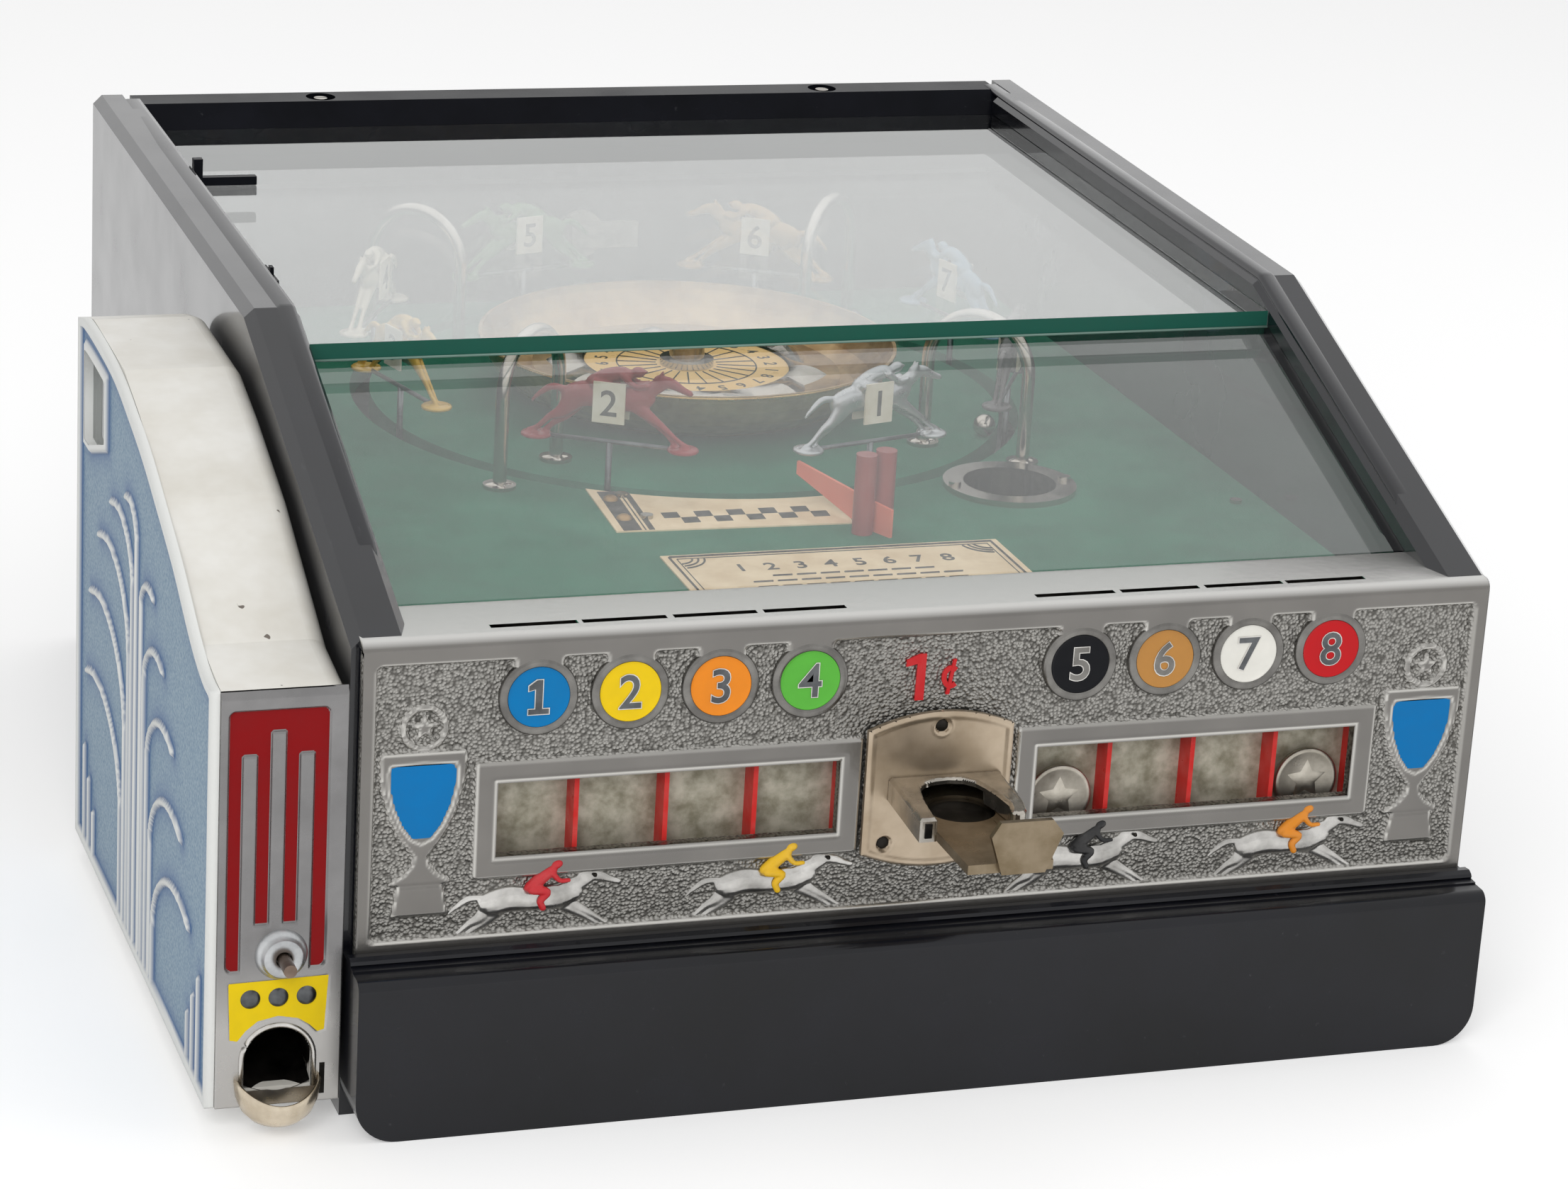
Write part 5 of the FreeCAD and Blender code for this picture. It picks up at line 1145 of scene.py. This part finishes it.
def card_print():
    """A double border, fans in the corners and the numbers 1 to 8, printed on the rules card."""
    left, right, front, back = -55.0, 55.0, -145.5, -99.5
    marks = []
    for inset, half in ((0, 0.45), (2.0, 0.2)):
        loop = [(left + inset, front + inset), (right - inset, front + inset), (right - inset, back - inset),
                (left + inset, back - inset), (left + inset, front + inset)]
        for a, b in zip(loop[:-1], loop[1:]):
            marks.append(wire([(*a, PRINT_Z), (*b, PRINT_Z)], half, 4))
    for side_x, at_x, side_y, at_y in ((1, left, 1, front), (-1, right, 1, front), (1, left, -1, back),
                                       (-1, right, -1, back)):
        for reach in (5.5, 7.5, 9.5):
            arc = np.radians(np.linspace(8, 82, 9))
            spots = np.stack([at_x + side_x * (1.5 + reach * np.cos(arc)),
                              at_y + side_y * (1.5 + reach * np.sin(arc)),
                              np.full(arc.shape, PRINT_Z)], axis=-1)
            marks.append(wire(spots, 0.35, 4))
    for place in range(8):
        points, faces = numeral(str(place + 1), 9.0, 0.1, 0.1)
        flat = np.stack([points[:, 0] - 35 + 10 * place, points[:, 2] - 112.5,
                         PRINT_Z + 0.02 - points[:, 1]], axis=-1)
        marks.append((flat, faces))
    for y, half in ((-121.5, 30), (-126.5, 38), (-131.5, 34), (-136.5, 22)):
        for k in range(-4, 5):
            if abs(k) * 8 < half:
                marks.append(wire([(k * 8 - 3.2, y, PRINT_Z), (k * 8 + 3.2, y, PRINT_Z)], 0.4, 4))
    piece("card_print", marks, INK, smooth=False)


# The gum vendor: its aluminium face, painted side panel, chute and boss
VENDOR_LEFT, VENDOR_RIGHT, VENDOR_LOW, VENDOR_TOP = -222.0, -184.6, 8.7, 140.0
BAR_X = (-213.25, -204.8, -196.35)
OUTLET = (-203.5, 23.5, 10.2)
LABEL = [(-218.6, 48.6), (-217.9, 30.4), (-215.6, 29.9), (-213.2, 33.0), (-209.6, 35.9), (-203.5, 37.2),
         (-197.4, 35.9), (-194.0, 33.6), (-191.6, 31.2), (-189.6, 31.8), (-188.6, 49.2)]


def vendor_face_rise(x, z):
    """Height over the red field: the face is 1.3 mm up, and three bars stand in the field as high."""
    field = to_block(x, z, -219.6, -189.8, 52, 133.8, 2.2)
    for at, top in zip(BAR_X, (119.8, 127.0, 119.8)):
        field = np.maximum(field, -to_block(x, z, at - 2.1, at + 2.1, 40, top, 0.6))
    field = np.maximum(field, -to_block(x, z, BAR_X[0], BAR_X[2], 30, 66.6, 0.8))
    label = to_polygon(x, z, LABEL)
    return 1.3 - 1.3 * bevel(field, 0.7) - 0.5 * bevel(label, 0.6)


def outlet_hole(x, z):
    """Distance to the arched outlet: a disc over an upright block."""
    below = to_block(x, z, OUTLET[0] - OUTLET[2], OUTLET[0] + OUTLET[2], VENDOR_LOW + 5, OUTLET[1])
    return np.minimum(to_disc(x, z, OUTLET[:2], OUTLET[2]), below)


def edge_walls(points, back):
    """Four strips that join the outer edges of two grids of points."""
    pairs = ((points[0], back[0]), (points[-1], back[-1]), (points[:, 0], back[:, 0]),
             (points[:, -1], back[:, -1]))
    return [grid(np.stack(pair)) for pair in pairs]


def vendor_face():
    """The cast face stands 1.3 mm before the case; a rounded top edge turns back into it."""
    step = 0.42
    x, z = np.meshgrid(lines_through(VENDOR_LEFT, VENDOR_RIGHT, step),
                       lines_through(VENDOR_LOW, VENDOR_TOP, step))
    x, z = snap(x, z, outlet_hole, step)
    top = np.maximum(z - VENDOR_TOP + 3, 0) / 3
    edge = 3 * (1 - np.sqrt(1 - np.minimum(top, 1) ** 2))
    y = FACE_Y - 0.05 - np.maximum(vendor_face_rise(x, z), 0.02) + np.minimum(edge, 1.35)
    points = np.stack([x, y, z], axis=-1)
    inside = outlet_hole(x, z) < 0.02
    back = points * [1, 0, 1] + [0, FACE_Y - 0.02, 0]
    flat, quads = grid(points)
    shells = [(flat, outside_of(quads, inside))] + edge_walls(points, back)
    piece("vendor_front", shells, VENDOR_FACE)
    field = [(-220.2, 51), (-189.2, 51), (-189.2, 134.4), (-220.2, 134.4)]
    piece("vendor_field", [cutout(field, FACE_Y - 0.19, FACE_Y - 0.09)], RED_GLOSS,
          smooth=False)


def vendor_trim():
    """The label with three balls, the rolled rim of the outlet and a dark strip beside the cup, painted
    shade that stands for a notch.
    """
    label = cutout(LABEL, FACE_Y - 1.1, FACE_Y - 0.6)
    piece("vendor_label", [label], YELLOW_GLOSS, smooth=False)
    dome = [(0, -1.1), (1.6, -0.95), (2.7, -0.5), (3.1, 0.1)]
    balls = [turned(dome, (at, FACE_Y - 1.05, 43.2), "y", 28) for at in (-211.9, -203.5, -195.1)]
    piece("vendor_label_balls", balls, DARK_METAL)
    reach = OUTLET[2] + 0.7
    arc = [(OUTLET[0] + reach * math.cos(a), OUTLET[1] + reach * math.sin(a))
           for a in np.radians(np.linspace(0, 180, 25))]
    arch = [(OUTLET[0] + reach, 14)] + arc + [(OUTLET[0] - reach, 14)]
    rim = wire([(x, FACE_Y - 1.2, z) for x, z in arch], 0.85, 10)
    piece("outlet_rim", [rim], BRIGHT_CAST)
    # Painted shade: a thin near-black strip on the face where the notch beside the cup is.
    notch = cutout([(-190.8, 11), (-189.2, 11), (-189.2, 21), (-190.8, 21)], FACE_Y - 1.42, FACE_Y - 1.2)
    piece("vendor_notch", [notch], DARK_METAL_AND_SHADE, smooth=False)


def vendor_cup():
    """A half-round scoop under the outlet: its rim dips by a third towards the front."""
    foot = 3.4
    profile = [(0, 3.4), (4.5, 3.7), (8.3, 5.3), (10.9, 8.2), (12.4, 12.2), (13, 17.2), (12.6, 17.8),
               (12.0, 17.6), (11.3, 12.6), (9.9, 9.2), (7.4, 6.6), (4, 5.1), (0, 4.7)]
    radius, height = np.array(profile).T[:, :, None]
    angle = np.linspace(0, np.pi, 33)
    x = OUTLET[0] + radius * np.cos(angle)
    y = FACE_Y - 1.4 - 0.9 * radius * np.sin(angle)
    z = foot + (height - foot) * (1 - 0.32 * np.sin(angle) ** 2)
    scoop = grid(np.stack([x, y, z], axis=-1))
    piece("gum_scoop", [scoop], SCOOP, stands_for=["vendor_cup"])


def vendor_boss():
    """A turned boss with a flat cap; the shaft's stub comes out of its middle."""
    profile = [(8.0, -1.2), (7.7, -2.0), (6.9, -2.9), (6.3, -3.3), (6.0, -5.2), (5.6, -5.6), (2.6, -5.7),
               (2.3, -5.2), (2.3, -2.0)]
    piece("vendor_boss", [turned(profile, (-203, FACE_Y, 57), "y", 40)], POLISHED)


def vendor_chute():
    """The dark trough behind the outlet: half a tube that slopes to the back, open towards the cup."""
    half, long = 10.1, 24
    turn, depth = np.meshgrid(np.radians(np.linspace(-20, 200, 25)), np.linspace(0, long, 9))
    roof_z = 23.5 + half * np.where(turn > 0, np.sin(turn), np.sin(turn) * 0.4)
    roof = grid(np.stack([OUTLET[0] - half * np.cos(turn), FACE_Y + 0.3 + depth, roof_z], axis=-1))
    across, depth = np.meshgrid(np.linspace(-half, half, 15), np.linspace(-0.2, long, 9))
    floor_z = 12.5 + 0.028 * across ** 2 + 0.33 * depth
    floor = grid(np.stack([OUTLET[0] + across, FACE_Y + depth, floor_z], axis=-1))
    end = grid(np.array([[(OUTLET[0] + side * 11, FACE_Y + long, z) for side in (-1, 1)] for z in (10, 36)]))
    piece("vendor_chute", [roof, floor, end], DARK_METAL_AND_SHADE)


# The vendor's side panel, by the distance behind the face and the height
SIDE_X, SIDE_RUN, SIDE_FOOT = -225.0, 220, 8.5
SIDE_TOP = [(0, 140), (12, 141), (28, 146), (57, 159.5), (86, 170.5), (107, 177.8), (128, 183.2),
            (154, 188.6), (180, 190.4), (208, 190.6), (SIDE_RUN, 188.5)]


def side_top(run):
    """Height of the panel's top edge at a distance behind the face."""
    known = curve_through(SIDE_TOP, 8)
    return np.interp(run, known[:, 0], np.minimum(known[:, 1], 190.9))


def fountain():
    """Stems that rise from the foot of the panel and bow outwards to both sides, as runs of strokes."""
    stems = ((86, 30, 76), (92, 56, 66), (98, 82, 54), (104, 106, 40), (110, 128, 26),
             (118, 146, -26), (124, 128, -52), (130, 104, -72), (136, 76, -84), (142, 46, -84))
    arc = np.radians(np.linspace(0, 118, 13))
    runs = []
    for foot, rise, bow in stems:
        size = abs(bow) / 2
        side = -math.copysign(1, bow)
        bend = [(foot + side * size * (1 - math.cos(a)), rise + size * 0.7 * math.sin(a)) for a in arc]
        runs.append([(foot, 12)] + bend)
    return runs


def side_lines(run, z):
    """Distance to the nearest raised line of the side panel: border, fountain, short bars and window rim."""
    edges = [run, SIDE_RUN - run, z - SIDE_FOOT, (side_top(run) - z) * 0.93]
    nearest = np.minimum.reduce(edges) - 3.0
    for spots in fountain():
        nearest = np.minimum(nearest, to_line(run, z, spots, 0.95))
    for k in range(3):
        for at in (14 + 8 * k, 206 - 8 * k):
            nearest = np.minimum(nearest, to_line(run, z, [(at, 12), (at, 44 - 9 * k)], 0.9))
    return np.minimum(nearest, window_hole(run, z) - 2.2)


def window_hole(run, z):
    """Distance to the panel's window: it keeps 9.5 mm under the panel's top and its sill slants."""
    sill = 151 + 0.32 * np.maximum(200 - run, 0)
    hole = to_block(run, z, 172, 208, 150, 200, 1.0)
    return np.maximum.reduce([hole, (z - side_top(run) + 9.5) * 0.95, (sill - z) * 0.95])


def vendor_side():
    """A pressed panel: lines and border stand 1.25 mm over the painted ground."""
    run, share = np.meshgrid(lines_through(0, SIDE_RUN, 0.9), np.linspace(0, 1, 204))
    z = SIDE_FOOT + share * (side_top(run) - SIDE_FOOT)
    inner = (share > 0) & (share < 1) & (run > 0) & (run < SIDE_RUN)
    moved_run, moved_z = snap(run, z, window_hole, 0.9)
    run, z = np.where(inner, moved_run, run), np.where(inner, moved_z, z)
    depth = 1.25 * (1 - bevel(side_lines(run, z), 0.9))
    points = np.stack([SIDE_X + depth, FACE_Y + run, z], axis=-1)
    back = points * [0, 1, 1] + [SIDE_X + 2.9, 0, 0]
    flat, quads = grid(points)
    shells = [(flat, outside_of(quads, window_hole(run, z) < 0.02))] + edge_walls(points, back)
    rim = [(172, 160), (200, 151), (208, 151), (208, 181.0), (190, 180.9), (172, 180.2)]
    front = np.array([(SIDE_X + 0.1, FACE_Y + u, v) for u, v in rim])
    shells.append(grid(np.stack([front, front + [2.9, 0, 0]]), around=True))
    made_object = piece("vendor_side", shells, SIDE_PAINT, stands_for=["vendor_side_panel"])

    def near_line(x, y, z):
        return np.exp(-np.maximum(side_lines(y - FACE_Y, z), 0) / 3.2)

    shade(made_object, "line", lambda x, y, z: bevel(side_lines(y - FACE_Y, z) - 0.15, 0.5))
    shade(made_object, "near_line", near_line)


# Each rail climbs steeply from the ledge to its knee and little from there to the back
RAIL_RUN, RAIL_RISE = (7, 160, 431), (0, 55, 60)


def rail_beads():
    """A bead along each rail's inner edge: it starts behind the ledge and sinks in at the back."""
    shells = []
    for side in (-1, 1):
        rows = []
        for run, lift in ((42, -1.0), (46, 0.9), (159, 0.9), (161, 0.9), (425, -0.1)):
            top = PLATE_TOP + np.interp(run, RAIL_RUN, RAIL_RISE)
            section = [(166.6, -1.4), (166.8, 0.5), (168.0, lift), (171.4, lift), (173.0, -0.3)]
            rows.append([(side * x, FACE_Y + run, top + min(rise, lift)) for x, rise in section])
        shells.append(grid(np.array(rows, float)))
    piece("rail_beads", shells, BLACK)


def glass_edges():
    """Polished edges of the two panes: deep green on the thick one, grey-green on the thin line below it."""
    rear = slab([(-164.9, -61.38), (164.9, -61.38), (164.9, -61.1), (-164.9, -61.1)], 193.45, 198.62)
    piece("rear_pane_edge", [rear], GLASS_EDGE, smooth=False)
    front = wire([(-164.9, -61.7, 193.2), (164.9, -61.7, 193.2)], 0.45, 8)
    piece("front_pane_edge", [front], THIN_EDGE)


front_plate()
number_discs()
bet_coins()
slot_walls()
cup_inlays()
plate_riders()
slide_seat()
slide_shelf()
seat_screws()
slide_trim()
racing_horses()
hurdle_feet()
dial()
bowl_rim()
finish_line()
card_print()
vendor_face()
vendor_trim()
vendor_cup()
vendor_boss()
vendor_chute()
vendor_side()
rail_beads()
glass_edges()

# Camera, fitted to the photograph
view = bpy.data.cameras.new("view")
view.sensor_fit = "HORIZONTAL"
view.sensor_width = 36
view.lens = 102.76
camera = bpy.data.objects.new("camera", view)
camera.location = (-0.47015, -1.38721, 0.59576)
camera.rotation_euler = Euler([math.radians(angle) for angle in (70.77, -3.30, -18.30)])
scene.collection.objects.link(camera)
scene.camera = camera


# Floor, white room and soft light
def background_rays(tree):
    """1 for rays from the camera, from a mirroring surface and through glass, 0 for soft light."""
    path = add(tree, "LightPath")
    seen = path.outputs["Is Camera Ray"]
    for name in ("Is Glossy Ray", "Is Transmission Ray"):
        both = add(tree, "Math", operation="MAXIMUM")
        tree.links.new(seen, both.inputs[0])
        tree.links.new(path.outputs[name], both.inputs[1])
        seen = both.outputs[0]
    return seen


def plain_floor():
    """A matt white table top that looks white to the camera and in reflections, and keeps the shadow."""
    mesh = bpy.data.meshes.new("table_top")
    corners = [(12 * x, 12 * y, 0) for x, y in ((-1, -1), (1, -1), (1, 1), (-1, 1))]
    mesh.from_pydata(corners, [], [(0, 1, 2, 3)])
    made_object = bpy.data.objects.new("table_top", mesh)
    scene.collection.objects.link(made_object)
    made, tree, shader, _ = finish("white_table", "#f2f2f2", roughness=0.9, Emission_Color=(1, 1, 1, 1))
    glow = add(tree, "MapRange", Value=background_rays(tree), To_Max=0.3)
    feed(glow, shader, "Emission Strength")
    mesh.materials.append(made)


def white_room():
    """A world that is plain white where the camera or a shiny surface sees it and softer as a light."""
    world = bpy.data.worlds.new("white_room")
    world.use_nodes = True
    scene.world = world
    tree = world.node_tree
    strength = add(tree, "MapRange", Value=background_rays(tree), To_Min=SOFT_LIGHT, To_Max=1.0)
    back = tree.nodes["Background"]
    back.inputs["Color"].default_value = (1, 1, 1, 1)
    feed(strength, back, "Strength")


def lamp(name, at, aim, size, power):
    """A square soft box at a place in metres, turned to a point; shiny surfaces don't mirror it."""
    light = bpy.data.lights.new(name, "AREA")
    light.size = size
    light.energy = power
    made_object = bpy.data.objects.new(name, light)
    made_object.visible_glossy = False
    made_object.location = at
    made_object.rotation_euler = (Vector(aim) - Vector(at)).to_track_quat("-Z", "Y").to_euler()
    scene.collection.objects.link(made_object)


SOFT_LIGHT = 0.5
plain_floor()
white_room()
lamp("window_light", (-0.9, -1.7, 1.3), (0, 0, 0.1), 1.2, 20)
lamp("fill_light", (1.6, -0.6, 1.1), (0, 0, 0.1), 1.4, 6)
lamp("top_light", (0.1, 0.6, 1.9), (0, 0.05, 0.1), 1.2, 5)

scene.view_settings.view_transform = "Standard"
